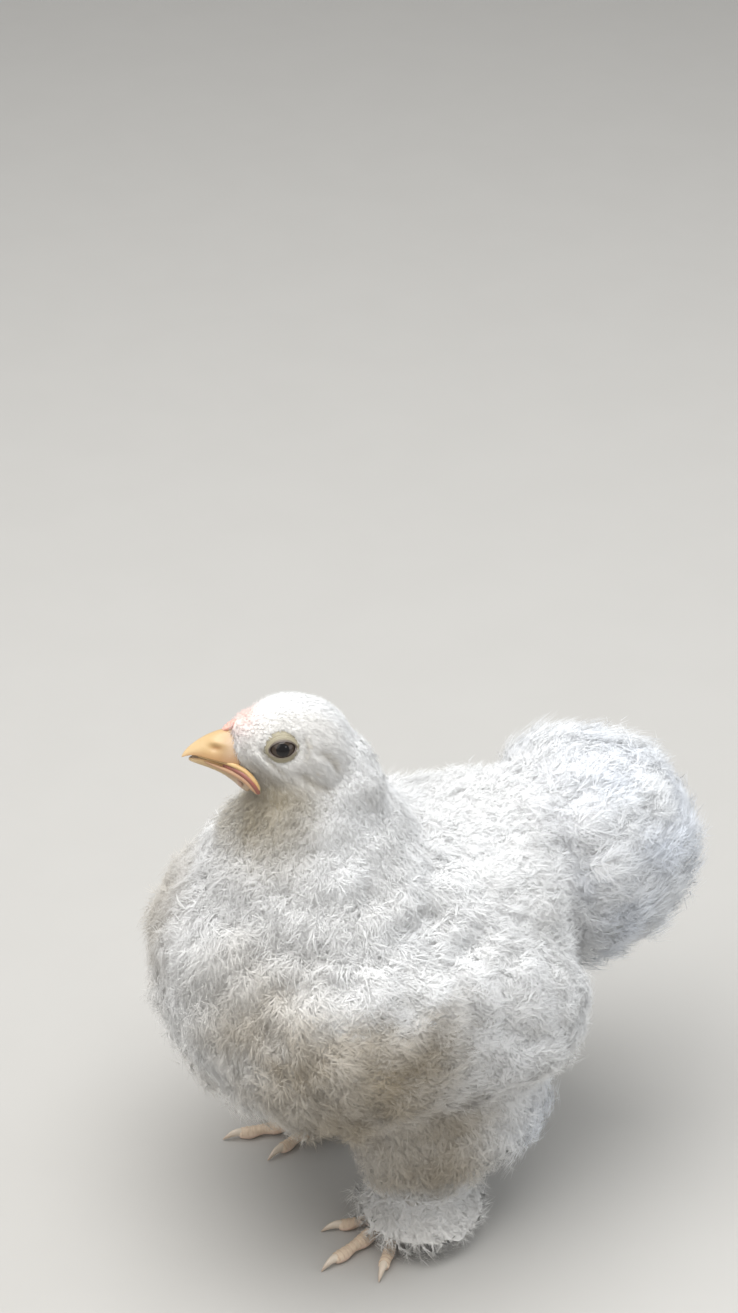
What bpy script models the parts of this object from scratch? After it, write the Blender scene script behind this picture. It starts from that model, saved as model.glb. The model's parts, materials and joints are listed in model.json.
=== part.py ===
"""A cochin bantam chick that stands still on its two feet, at life size.

Metres, with +Z up. The chick faces -Y and its left side is +X. Its body lies along Y, and the head is
turned to the chick's right, lifted and tilted, so that the left eye looks up. The origin is on the floor,
below the middle of the whole bird.
"""

import math
import random

import bmesh
import bpy
from mathutils import Matrix, Vector

MM = 0.001
GAP = 0.3 * MM  # left between pieces that touch
ACROSS = Vector((1, 0, 0))
ALONG = Vector((0, 1, 0))
UP = Vector((0, 0, 1))


def mm(*values):
    """A vector from millimetres."""
    return Vector(value * MM for value in values)


# The torso, from the breast to the rump: each (y, middle height, half width, half height)
TORSO_OUTLINE = (
    (-62, 87, 0, 0),
    (-59, 87, 18, 16),
    (-51, 86, 34, 31),
    (-38, 86, 44.5, 39.5),
    (-19, 86.5, 50.5, 43.5),
    (4, 86.5, 51.5, 44.5),
    (26, 88.5, 49, 42.5),
    (44, 92.5, 42, 38.5),
    (57, 96, 31.5, 32),
    (66, 99, 18, 19.5),
    (70, 100, 0, 0),
)
TORSO_SIDES = 28
TORSO_SQUARENESS = 2.1
TORSO_EGG = 0.1  # how much narrower the top is than the middle, as a share of the width

# The head, about a point midway between the eyes: (y, middle height, half width, half height)
HEAD_PLACE = mm(-4, -21.5, 163.5)
HEAD_TURN = math.radians(-30.6)
HEAD_LIFT = math.radians(-18.5)
HEAD_TILT = math.radians(-18.2)
HEAD_OUTLINE = (
    (-15.2, -7, 4.6, 5.4),
    (-12, -4.5, 7.6, 9.2),
    (-7, -2.2, 10.2, 12.4),
    (0, -0.8, 12.2, 14.3),
    (8, 0.2, 12.8, 14.8),
    (15, -0.2, 11.6, 13),
    (20, -1.4, 8, 8.8),
    (22.5, -2, 0, 0),
)
HEAD_SIDES = 22

# The neck, from inside the body to inside the skull: centre, half width across, half depth
NECK_OUTLINE = (
    ((0, -10, 99), 42, 41),
    ((0, -11.5, 111), 41, 39.5),
    ((0, -13, 123), 36.5, 35),
    ((0.5, -14, 133), 29, 28.5),
    ((1, -15, 142), 22, 22.5),
    ((1, -16.5, 151), 15, 16.5),
    ((-1, -18, 157), 11, 12),
    ((-3, -19.5, 163), 7, 7),
)
NECK_SIDES = 24
NECK_PARTING = mm(0, -17, 148)
NECK_PARTING_NORMAL = Vector((0, -0.12, 1)).normalized()

# The eyes and lids, in the head's own frame
EYE_PLACE = mm(7.3, 0, 0)
EYE_RADIUS = 5.4 * MM
LID_PLACE = mm(11.6, 0, 0)
LID_OPENING = (4.5 * MM, 3.7 * MM)
LID_RADIUS = 1.0 * MM

# The bill, in the head's own frame: (y, height of the ridge, height of the cutting edge, half width)
UPPER_BILL_OUTLINE = (
    (-13.2, -1.8, -11.2, 5.5),
    (-16.5, -2.2, -11.0, 4.8),
    (-20.0, -3.8, -10.9, 3.7),
    (-23.2, -6.4, -11.3, 2.5),
    (-25.4, -9.4, -12.2, 1.3),
    (-26.3, -11.9, -12.9, 0.5),
)
LOWER_BILL_OUTLINE = (
    (-12.6, -15.0, -11.5, 4.9),
    (-17.0, -14.6, -11.3, 3.7),
    (-21.0, -13.9, -11.2, 2.4),
    (-24.0, -13.0, -11.7, 0.9),
)
BILL_ARC_STEPS = 8
NOSTRIL_PLACE = mm(3.9, -17.2, -5.8)
NOSTRIL_RADII = (1.3 * MM, 1.7 * MM, 0.7 * MM)
MOUTH_LINE_PLACE = mm(8.1, -9.4, -10.6)
MOUTH_LINE_RADII = (1.6 * MM, 3.4 * MM, 0.45 * MM)

# Comb, ear lobes and wattles, in the head's own frame
COMB_ARC = ((-14.6, -0.6), (-13.3, 2.4), (-11.6, 5.2), (-9.4, 7.6), (-6.8, 9.6))  # y and z
COMB_RISE = 1.3 * MM
COMB_VALLEY = 0.72  # the rise between two points, as a share
COMB_HALF_THICKNESS = 0.9 * MM
COMB_LEAN = Vector((0, -0.55, 0.83))
EAR_PLACE = mm(12.1, 11.8, -2)
EAR_RADII = (1.7 * MM, 3.4 * MM, 3.9 * MM)
WATTLE_PLACE = mm(5.6, -8.4, -13.6)
WATTLE_RADII = (1.3 * MM, 2.8 * MM, 1.9 * MM)

# Feather vanes: half width along a vane as (share of the length, share of the half width)
VANE_SHAPE = ((0, 0.5), (0.35, 0.85), (0.65, 1), (0.88, 0.88), (1, 0.32))
VANE_THICKNESS = 0.6 * MM
VANE_TIP_THICKNESS = 0.35 * MM

# The tail: a round cushion of feathers behind the rump, in tiers from the rump to the tips
TAIL_PLACE = mm(0, 81, 100)
TAIL_RADII = (32, 34, 35.5)  # across, along, up, in millimetres
TAIL_CORE_PLACE = mm(0, 62, 99.5)
TAIL_CORE_RADII = (28 * MM, 28 * MM, 29.5 * MM)
TAIL_TIERS = (  # angles from the tail's axis and shares of the way out, of tip and root; number, half width
    ((104, 0.95), (128, 0.74), 15, 7.6),
    ((82, 1), (125, 0.68), 15, 8.0),
    ((60, 1), (120, 0.56), 13, 8.0),
    ((39, 1), (115, 0.46), 10, 7.6),
    ((19, 1), (108, 0.38), 5, 6.6),
)
TAIL_TILT = 0.2  # how far a vane leans on its neighbour, as a slope
TAIL_SPREAD = (2.5, 2.0)  # how far tips stray, along and round the cushion, in degrees

# The folded wing: a low shell over the flank, with its own axes p (to the rear), q (up) and h (out)
WING_PLACE = mm(46, 7, 85)
WING_HALF = (50, 24, 14)  # p, q and h in millimetres
WING_DROOP = math.radians(10)
WING_BLUNTNESS = 3
WING_CORE_OUTLINE = (  # p and its share of the shell's section there
    (-49.8, 0),
    (-49, 0.85),
    (-45, 0.97),
    (-36, 0.98),
    (-26, 0.96),
    (-15, 0.89),
    (-4, 0.81),
    (6, 0.73),
    (14, 0.6),
    (20, 0.38),
    (22.5, 0),
)
WING_CORE_SIDES = 22
WING_TIERS = (  # p of the tips at mid height, length, number of vanes, half width
    (48, 46, 7, 4.8),
    (27, 36, 7, 5.2),
    (8, 30, 6, 5.4),
    (-9, 22, 5, 5.6),
)
WING_SWEEP = (57, 7, 0.28)  # of the outermost vanes: angle, how much shorter and how much narrower
WING_SLOPE = 0.115  # how fast a vane sinks towards its root
WING_TILT = 0.2

# The thigh in its fluff: centre of each section of the left one, half width, half length
THIGH_OUTLINE = (
    ((26, 14, 64), 21, 27),
    ((26, 15, 52), 24, 32),
    ((27, 16.5, 40), 24.5, 34),
    ((27, 16, 30), 22.5, 31.5),
    ((26, 10, 22), 17, 22),
    ((25, 4, 16), 9, 11.5),
)
THIGH_SIDES = 20

# The leg below the fluff, the foot and its feathers
FOOT_PLACE = mm(25, 2, 0)
FOOT_TOP = 7.5 * MM
FOOT_SECTIONS = ((0, 4.2), (3.5, 5.4), (7.5, 4.6))  # height and radius, in millimetres
SHANK_TOP = mm(25, 4.5, 15.7)
SHANK_RADIUS = 4.6 * MM
LEG_SIDES = 10
TOE_HEIGHT = 2.3 * MM
TOE_STEPS = 6
TOE_SWELL = 0.1
TOES = {  # angle outwards from straight ahead, length, base radius, tip radius
    "inner": (-16, 19, 2.6, 1.7),
    "middle": (15, 27, 2.9, 1.8),
    "outer": (47, 22, 2.6, 1.7),
    "hind": (188, 14, 2.5, 1.6),
}
TOE_SIDES = 8
CLAW_LENGTH = 6.0 * MM
CLAW_RADIUS = 1.25 * MM
CLAW_STEPS = 4
CLAW_SIDES = 6
SHANK_FEATHERS = (  # angle outwards, height of the root, height of the tip, reach
    (50, 13.3, 6.2, 19),
    (74, 12.0, 2.2, 20),
    (98, 10.8, 1.5, 22),
    (122, 9.7, 1.3, 21),
    (147, 8.7, 1.2, 18),
)
SHANK_FEATHER_HALF_WIDTH = 3.3
SHANK_FEATHER_ARCH = 0.8  # how far a feather rises before it bends down

COLOURS = {  # colour and roughness
    "plumage": ((0.86, 0.85, 0.82), 0.9),
    "horn": ((0.80, 0.52, 0.24), 0.45),
    "claw": ((0.72, 0.58, 0.42), 0.4),
    "scale_skin": ((0.78, 0.60, 0.34), 0.6),
    "comb_skin": ((0.80, 0.33, 0.28), 0.6),
    "ear_skin": ((0.80, 0.70, 0.60), 0.7),
    "eye": ((0.05, 0.035, 0.025), 0.1),
}
CREASE_ANGLE = math.radians(50)


def material(name):
    """The Principled material of that name, made once."""
    found = bpy.data.materials.get(name)
    if found:
        return found
    colour, roughness = COLOURS[name]
    made = bpy.data.materials.new(name)
    made.use_nodes = True
    shader = made.node_tree.nodes["Principled BSDF"]
    shader.inputs["Base Color"].default_value = (*colour, 1)
    shader.inputs["Roughness"].default_value = roughness
    shader.inputs["Metallic"].default_value = 0
    return made


def add_empty(name, parent=None):
    made = bpy.data.objects.new(name, None)
    bpy.context.scene.collection.objects.link(made)
    made.parent = parent
    return made


def add_object(name, mesh, finish, frame=None):
    """A new object from a bmesh, with its faces turned outwards, in the frame of an empty."""
    bmesh.ops.recalc_face_normals(mesh, faces=mesh.faces)
    data = bpy.data.meshes.new(name)
    mesh.to_mesh(data)
    mesh.free()
    data.materials.append(material(finish))
    made = bpy.data.objects.new(name, data)
    bpy.context.scene.collection.objects.link(made)
    made.parent = frame
    return made


def remove(*objects):
    for each in objects:
        bpy.data.objects.remove(each)


def copy_of(piece, name):
    made = piece.copy()
    made.data = piece.data.copy()
    made.name = name
    bpy.context.scene.collection.objects.link(made)
    return made


def oval(centre, side, up, half_width, half_height, count, squareness=2.0, egg=0.0):
    """Points round an oval. Squareness above 2 fills its corners out, and egg narrows its top."""
    if not half_width:
        return [centre]
    power = 2 / squareness
    points = []
    for step in range(count):
        angle = 2 * math.pi * step / count
        across = math.copysign(abs(math.cos(angle)) ** power, math.cos(angle)) * half_width
        rise = math.copysign(abs(math.sin(angle)) ** power, math.sin(angle))
        points.append(centre + side * across * (1 - egg * rise) + up * rise * half_height)
    return points


def loft(name, rings, finish, frame=None):
    """A closed skin over rings of points. A ring of one point closes its end."""
    mesh = bmesh.new()
    rows = [[mesh.verts.new(point) for point in ring] for ring in rings]
    for row, following in zip(rows, rows[1:]):
        for step in range(max(len(row), len(following))):
            corners = [row[step % len(row)], row[(step + 1) % len(row)]]
            corners += [following[(step + 1) % len(following)], following[step % len(following)]]
            mesh.faces.new(list(dict.fromkeys(corners)))
    for row in (rows[0], rows[-1]):
        if len(row) > 1:
            mesh.faces.new(row)
    return add_object(name, mesh, finish, frame)


def ellipsoid(name, centre, radii, finish, frame=None, segments=20, rings=12):
    """An ellipsoid with its object's origin at its centre."""
    mesh = bmesh.new()
    bmesh.ops.create_uvsphere(mesh, u_segments=segments, v_segments=rings, radius=1)
    bmesh.ops.scale(mesh, vec=radii, verts=mesh.verts)
    made = add_object(name, mesh, finish, frame)
    made.location = centre
    return made


def apply_modifiers(piece):
    """Makes the evaluated mesh of a piece its own mesh."""
    bpy.context.view_layer.update()
    graph = bpy.context.evaluated_depsgraph_get()
    piece.data = bpy.data.meshes.new_from_object(piece.evaluated_get(graph))
    piece.modifiers.clear()


def keep_largest_surface(piece):
    """Drops all but the largest closed surface of a piece."""
    mesh = bmesh.new()
    mesh.from_mesh(piece.data)
    left, shells = set(mesh.faces), []
    while left:
        shell, front = set(), [left.pop()]
        while front:
            face = front.pop()
            shell.add(face)
            near = {other for edge in face.edges for other in edge.link_faces} & left
            left -= near
            front += near
        shells.append(shell)
    shells.sort(key=lambda shell: sum(face.calc_area() for face in shell))
    scraps = [face for shell in shells[:-1] for face in shell]
    bmesh.ops.delete(mesh, geom=scraps, context="FACES")
    mesh.to_mesh(piece.data)
    mesh.free()


def cut(piece, *cutters, solver="EXACT"):
    """Cuts other objects out of a piece, and removes them."""
    for cutter in cutters:
        modifier = piece.modifiers.new("cut", "BOOLEAN")
        modifier.operation = "DIFFERENCE"
        modifier.solver = solver
        modifier.object = cutter
        apply_modifiers(piece)
    keep_largest_surface(piece)
    remove(*cutters)


def fuse(piece, others, solver="EXACT"):
    """Joins other closed objects to a piece in one union, and removes them."""
    group = bpy.data.collections.new("pieces")
    bpy.context.scene.collection.children.link(group)
    for other in others:
        bpy.context.scene.collection.objects.unlink(other)
        group.objects.link(other)
    modifier = piece.modifiers.new("join", "BOOLEAN")
    modifier.operation = "UNION"
    modifier.solver = solver
    modifier.operand_type = "COLLECTION"
    modifier.collection = group
    apply_modifiers(piece)
    remove(*others)
    bpy.data.collections.remove(group)
    keep_largest_surface(piece)


def swell(piece, distance=GAP):
    """Moves a piece's whole surface outwards."""
    normals = [vertex.normal.copy() for vertex in piece.data.vertices]
    for vertex, normal in zip(piece.data.vertices, normals):
        vertex.co += normal * distance
    return piece


def grown(piece):
    """A swollen copy of a piece, to cut its neighbours clear of it."""
    return swell(copy_of(piece, piece.name + "_clearance"))


def part_by_plane(piece, point, normal):
    """Keeps what lies behind a plane, and closes the cut."""
    bpy.context.view_layer.update()
    to_piece = piece.matrix_world.inverted()
    mesh = bmesh.new()
    mesh.from_mesh(piece.data)
    bmesh.ops.bisect_plane(
        mesh,
        geom=mesh.verts[:] + mesh.edges[:] + mesh.faces[:],
        plane_co=to_piece @ point,
        plane_no=to_piece.to_3x3() @ normal,
        clear_outer=True,
    )
    bmesh.ops.holes_fill(mesh, edges=[edge for edge in mesh.edges if edge.is_boundary])
    bmesh.ops.recalc_face_normals(mesh, faces=mesh.faces)
    mesh.to_mesh(piece.data)
    mesh.free()


def mirrored(point, side):
    return Vector((point.x * side, point.y, point.z))


def side_name(side):
    return "left" if side > 0 else "right"


def vane(name, place, half_width, tilt):
    """A thin tapered feather vane, split into triangles alike on both faces.

    place gives the middle, the direction across and the direction out at a share of the length.
    """
    mesh = bmesh.new()
    rings = []
    for share, width_share in VANE_SHAPE:
        middle, across, out = place(share)
        thin = VANE_THICKNESS + (VANE_TIP_THICKNESS - VANE_THICKNESS) * max(share - 0.8, 0) / 0.2
        half = half_width * width_share
        top = [middle + (across + out * tilt) * reach for reach in (-half, half)]
        bottom = [point - out * thin for point in reversed(top)]
        rings.append([mesh.verts.new(point) for point in top + bottom])
    for here, there in zip(rings, rings[1:]):
        for first, second, third, fourth in ((0, 1, 1, 0), (1, 2, 2, 1), (3, 0, 0, 3)):
            mesh.faces.new((here[first], here[second], there[third]))
            mesh.faces.new((here[first], there[third], there[fourth]))
        mesh.faces.new((here[3], here[2], there[2]))
        mesh.faces.new((here[3], there[2], there[3]))
    for end in (rings[0], rings[-1]):
        mesh.faces.new(end)
    return add_object(name, mesh, "plumage")


def sections_along_y(outline, sides, squareness=2.0, egg=0.0):
    """Upright oval rings from an outline of (y, middle height, half width, half height) in millimetres."""
    return [
        oval(mm(0, y, z), ACROSS, UP, width * MM, height * MM, sides, squareness, egg)
        for y, z, width, height in outline
    ]


def make_torso():
    rings = sections_along_y(TORSO_OUTLINE, TORSO_SIDES, TORSO_SQUARENESS, TORSO_EGG)
    return loft("torso", rings, "plumage")


def make_head_frame(bird):
    """An empty midway between the eyes, turned as the head is."""
    frame = add_empty("head_frame", bird)
    turn = Matrix.Rotation(HEAD_TURN, 4, "Z")
    lift = Matrix.Rotation(HEAD_LIFT, 4, "X")
    tilt = Matrix.Rotation(HEAD_TILT, 4, "Y")
    frame.matrix_local = Matrix.Translation(HEAD_PLACE) @ turn @ lift @ tilt
    return frame


def make_neck_tube():
    """The whole neck, from inside the breast to inside the skull, square to its own line."""
    centres = [mm(*centre) for centre, _, _ in NECK_OUTLINE]
    rings = []
    for step, (_, width, depth) in enumerate(NECK_OUTLINE):
        before, after = centres[max(step - 1, 0)], centres[min(step + 1, len(centres) - 1)]
        along = (after - before).normalized()
        side = ALONG.cross(along).normalized()
        rings.append(oval(centres[step], side, along.cross(side), width * MM, depth * MM, NECK_SIDES))
    return loft("neck_tube", rings, "plumage")


def make_head_and_neck(torso, head_frame):
    """Skull and neck made whole, then parted by a thin cut below the jaw."""
    head = loft("head", sections_along_y(HEAD_OUTLINE, HEAD_SIDES), "plumage", head_frame)
    fuse(head, [make_neck_tube()])
    neck = copy_of(head, "neck")
    half_gap = NECK_PARTING_NORMAL * GAP / 2
    part_by_plane(head, NECK_PARTING + half_gap, -NECK_PARTING_NORMAL)
    part_by_plane(neck, NECK_PARTING - half_gap, NECK_PARTING_NORMAL)
    cut(neck, grown(torso))
    return head


def make_lid_ring(side, head_frame):
    """The raised rim of the two eyelids round the eye."""
    mesh = bmesh.new()
    steps, sides = 18, 6
    centre = mirrored(LID_PLACE, side)
    rows = []
    for step in range(steps):
        angle = 2 * math.pi * step / steps
        outward = Vector((0, math.cos(angle), math.sin(angle)))
        middle = centre + Vector((0, outward.y * LID_OPENING[0], outward.z * LID_OPENING[1]))
        ring = oval(middle, outward, ACROSS, LID_RADIUS, LID_RADIUS, sides)
        rows.append([mesh.verts.new(point) for point in ring])
    for step in range(steps):
        row, following = rows[step], rows[(step + 1) % steps]
        for corner in range(sides):
            after = (corner + 1) % sides
            mesh.faces.new((row[corner], row[after], following[after], following[corner]))
    return add_object("lids", mesh, "plumage", head_frame)


def make_face(head, head_frame):
    """Lids, sockets, eyes and the line of the mouth."""
    fuse(head, [make_lid_ring(side, head_frame) for side in (1, -1)])
    for side in (1, -1):
        place = mirrored(EYE_PLACE, side)
        ellipsoid("eye_" + side_name(side), place, (EYE_RADIUS,) * 3, "eye", head_frame, 16, 10)
        socket = ellipsoid("socket", place, (EYE_RADIUS + GAP,) * 3, "plumage", head_frame, 16, 10)
        corner = mirrored(MOUTH_LINE_PLACE, side)
        line = ellipsoid("mouth_line", corner, MOUTH_LINE_RADII, "plumage", head_frame, 10, 6)
        cut(head, socket, line)


def bill_half(name, outline, head_frame):
    """One half of the bill: rounded on its ridge and flat along its cutting edge."""
    rings = []
    for y, ridge, edge, width in outline:
        angles = [math.pi * step / BILL_ARC_STEPS for step in range(BILL_ARC_STEPS + 1)]
        rings.append([mm(width * math.cos(a), y, edge + (ridge - edge) * math.sin(a)) for a in angles])
    return loft(name, rings, "horn", head_frame)


def make_bill(head, head_frame):
    upper = bill_half("upper_bill", UPPER_BILL_OUTLINE, head_frame)
    lower = bill_half("lower_bill", LOWER_BILL_OUTLINE, head_frame)
    cut(lower, grown(upper), grown(head), solver="MANIFOLD")
    nostrils = [
        ellipsoid("nostril", mirrored(NOSTRIL_PLACE, side), NOSTRIL_RADII, "horn", head_frame, 10, 6)
        for side in (1, -1)
    ]
    cut(upper, grown(head), *nostrils, solver="MANIFOLD")


def make_comb(head, head_frame):
    """A low single comb with small points along the forehead."""
    rings = []
    for step, (y, z) in enumerate(COMB_ARC):
        rise = COMB_RISE * (1 if step % 2 else COMB_VALLEY)
        rings.append(oval(mm(0, y, z), ACROSS, COMB_LEAN, COMB_HALF_THICKNESS, rise, 8))
    comb = loft("comb", rings, "comb_skin", head_frame)
    cut(comb, grown(head), solver="MANIFOLD")


def make_head_lobe(name, place, radii, finish, side, head, head_frame):
    """An ear lobe or a wattle: a small rounded fold on the side of the head."""
    name = name + "_" + side_name(side)
    lobe = ellipsoid(name, mirrored(place, side), radii, finish, head_frame, 12, 8)
    cut(lobe, grown(head), solver="MANIFOLD")


def tail_point(polar, azimuth, share):
    """A point of the tail cushion, at a share of the way out to its surface."""
    across, along, up = (radius * share * MM for radius in TAIL_RADII)
    ring = math.sin(polar)
    offset = (across * ring * math.sin(azimuth), along * math.cos(polar), up * ring * math.cos(azimuth))
    return TAIL_PLACE + Vector(offset)


def make_tail_vane(tip, root, azimuth, half_width):
    """A vane that rises out of the core and bends over the cushion to its tip."""

    def place(share):
        polar = math.radians(root[0] + (tip[0] - root[0]) * share)
        reach = root[1] + (tip[1] - root[1]) * share
        middle = tail_point(polar, azimuth, reach)
        beside = tail_point(polar, azimuth + 0.01, reach)
        return middle, (beside - middle).normalized(), (middle - TAIL_PLACE).normalized()

    return vane("tail_vane", place, half_width * MM, TAIL_TILT)


def make_tail(torso, draw):
    tail = ellipsoid("tail", TAIL_CORE_PLACE, TAIL_CORE_RADII, "plumage")
    vanes = []
    for tier, (tip, root, count, half_width) in enumerate(TAIL_TIERS):
        for step in range(count):
            azimuth = 2 * math.pi * (step + 0.5 * (tier % 2)) / count
            azimuth += math.radians(draw.uniform(-1, 1) * TAIL_SPREAD[1])
            end = (tip[0] + draw.uniform(-1, 1) * TAIL_SPREAD[0], tip[1])
            vanes.append(make_tail_vane(end, root, azimuth, half_width * draw.uniform(0.94, 1.06)))
    fuse(tail, vanes, solver="MANIFOLD")
    cut(tail, grown(torso), solver="MANIFOLD")


def wing_section(p):
    """The share of the wing's full section at p along it."""
    return max(1 - abs(p / WING_HALF[0]) ** WING_BLUNTNESS, 0) ** (1 / WING_BLUNTNESS)


def wing_axes(side):
    """Directions of p, q and h."""
    rear = Vector((0, math.cos(WING_DROOP), -math.sin(WING_DROOP)))
    return rear, Vector((0, -rear.z, rear.y)), ACROSS * side


def wing_place(p, angle, depth, side):
    """A point at a depth below the wing's shell, with the directions across a feather and out."""
    rear, up, out = wing_axes(side)
    scale = wing_section(p) * MM
    tall, deep = WING_HALF[1], WING_HALF[2]
    surface = up * tall * scale * math.sin(angle) + out * deep * scale * math.cos(angle)
    normal = (out * tall * math.cos(angle) + up * deep * math.sin(angle)).normalized()
    across = (up * tall * math.cos(angle) - out * deep * math.sin(angle)).normalized()
    middle = mirrored(WING_PLACE, side) + rear * p * MM + surface - normal * depth * MM
    return middle, across, normal


def make_wing_vane(tip, length, angle, half_width, side):
    """A vane along the wing, with its lower edge over the next one below."""

    def place(share):
        p = tip - length * (1 - share)
        return wing_place(p, angle, WING_SLOPE * (tip - p), side)

    return vane("wing_vane", place, half_width * MM, -WING_TILT)


def wing_shell(name, side, outline):
    """A form that takes a share of the wing's section at each p."""
    rear, up, out = wing_axes(side)
    rings = []
    for p, share in outline:
        scale = share * wing_section(p) * MM
        centre = mirrored(WING_PLACE, side) + rear * p * MM
        rings.append(oval(centre, up, out, WING_HALF[1] * scale, WING_HALF[2] * scale, WING_CORE_SIDES))
    return loft(name, rings, "plumage")


def make_wing(side, torso, draw):
    wing = wing_shell("wing_" + side_name(side), side, WING_CORE_OUTLINE)
    vanes = []
    for tier, (tip, length, count, half_width) in enumerate(WING_TIERS):
        for step in range(count):
            sweep = 2 * (step + 0.25 * (tier % 2)) / (count - 0.5) - 1
            end = tip - WING_SWEEP[1] * sweep * sweep + draw.uniform(-0.8, 0.8)
            angle = math.radians(WING_SWEEP[0] * sweep)
            width = half_width * (1 - WING_SWEEP[2] * sweep * sweep) * draw.uniform(0.96, 1.04)
            vanes.append(make_wing_vane(end, length, angle, width, side))
    fuse(wing, vanes, solver="MANIFOLD")
    cut(wing, grown(torso), solver="MANIFOLD")


def make_thigh(side, torso):
    """The thigh and hock in their fluff, clear of the wing's whole shell."""
    rings = [
        oval(mirrored(mm(*centre), side), ACROSS, ALONG, width * MM, length * MM, THIGH_SIDES)
        for centre, width, length in THIGH_OUTLINE
    ]
    thigh = loft("thigh_" + side_name(side), rings, "plumage")
    steps = [-1 + step / 8 for step in range(17)]
    outline = [(WING_HALF[0] * math.sin(step * math.pi / 2), 1) for step in steps]
    cut(thigh, grown(torso), swell(wing_shell("wing_room", side, outline), 2 * GAP))


def foot_direction(angle, side):
    """A level direction at an angle outwards from straight ahead."""
    angle = math.radians(angle) * side
    return Vector((math.sin(angle), -math.cos(angle), 0))


def make_shank_feather(angle, root_height, tip_height, reach, side):
    """A feather that grows out of the shank and bends down over the foot."""
    outwards = foot_direction(angle, side)
    axis = mirrored(FOOT_PLACE, side)

    def place(share):
        arch = SHANK_FEATHER_ARCH * math.sin(math.pi * min(share * 2, 1))
        height = root_height + (tip_height - root_height) * share * share + arch
        middle = axis + outwards * (1 + (reach - 1) * share) * MM + UP * height * MM
        return middle, outwards.cross(UP), UP

    return vane("foot_vane", place, SHANK_FEATHER_HALF_WIDTH * MM, 0)


def make_shank(side):
    bottom = mirrored(FOOT_PLACE, side) + UP * (FOOT_TOP + GAP)
    rings = [
        oval(point, ACROSS, ALONG, SHANK_RADIUS, SHANK_RADIUS, LEG_SIDES)
        for point in (mirrored(SHANK_TOP, side), bottom)
    ]
    shank = loft("shank_" + side_name(side), rings, "scale_skin")
    fuse(shank, [make_shank_feather(*sizes, side) for sizes in SHANK_FEATHERS], solver="MANIFOLD")


def make_toe(name, side):
    """One toe along the floor, with a flat underside and slightly swollen joints."""
    angle, length, base, tip = TOES[name]
    along = foot_direction(angle, side)
    across = along.cross(UP)
    start = mirrored(FOOT_PLACE, side) + UP * TOE_HEIGHT
    rings = []
    for step in range(TOE_STEPS + 1):
        share = step / TOE_STEPS
        radius = (base + (tip - base) * share) * MM * (1 + TOE_SWELL * (-1) ** step)
        ring = oval(start + along * share * length * MM, across, UP, radius, radius, TOE_SIDES)
        rings.append([Vector((point.x, point.y, max(point.z, 0))) for point in ring])
    return loft("toe_" + name, rings, "scale_skin")


def make_foot(side):
    base = mirrored(FOOT_PLACE, side)
    rings = [
        oval(base + UP * height * MM, ACROSS, ALONG, radius * MM, radius * MM, LEG_SIDES)
        for height, radius in FOOT_SECTIONS
    ]
    foot = loft("foot_" + side_name(side), rings, "scale_skin")
    fuse(foot, [make_toe(name, side) for name in TOES])


def make_claw(name, side):
    """A short curved claw in front of a toe's end."""
    angle, length, _, _ = TOES[name]
    along = foot_direction(angle, side)
    across = along.cross(UP)
    start = mirrored(FOOT_PLACE, side) + along * (length * MM + GAP)
    rings = []
    for step in range(CLAW_STEPS):
        share = step / CLAW_STEPS
        radius = CLAW_RADIUS * (1 - 0.75 * share)
        centre = start + along * CLAW_LENGTH * share + UP * TOE_HEIGHT * (1 - 0.7 * share * share)
        rings.append(oval(centre, across, UP, radius, radius, CLAW_SIDES))
    rings.append([start + along * CLAW_LENGTH + UP * 0.15 * TOE_HEIGHT])
    loft(f"claw_{side_name(side)}_{name}", rings, "claw")


def finish_pieces(bird):
    """Shades each piece smooth, hangs it on the bird, and centres the bird's box over the origin."""
    pieces = [each for each in bpy.data.objects if each.type == "MESH"]
    for each in pieces:
        each.data.shade_smooth()
        each.data.set_sharp_from_angle(angle=CREASE_ANGLE)
        if not each.parent:
            each.parent = bird
    bpy.context.view_layer.update()
    corners = [each.matrix_world @ vertex.co for each in pieces for vertex in each.data.vertices]
    for axis in (0, 1):
        values = [corner[axis] for corner in corners]
        bird.location[axis] = -(min(values) + max(values)) / 2


def main():
    remove(*bpy.data.objects)
    draw = random.Random(11)
    bird = add_empty("bird")
    head_frame = make_head_frame(bird)
    torso = make_torso()
    head = make_head_and_neck(torso, head_frame)
    make_face(head, head_frame)
    make_bill(head, head_frame)
    make_comb(head, head_frame)
    make_tail(torso, draw)
    for side in (1, -1):
        make_head_lobe("ear", EAR_PLACE, EAR_RADII, "ear_skin", side, head, head_frame)
        make_head_lobe("wattle", WATTLE_PLACE, WATTLE_RADII, "comb_skin", side, head, head_frame)
        make_wing(side, torso, draw)
        make_thigh(side, torso)
        make_shank(side)
        make_foot(side)
        for name in TOES:
            make_claw(name, side)
    finish_pieces(bird)


main()
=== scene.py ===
import json
import math
from types import SimpleNamespace

import bpy
import numpy as np
from mathutils import Matrix, Vector, noise
from mathutils.bvhtree import BVHTree
from mathutils.kdtree import KDTree

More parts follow.
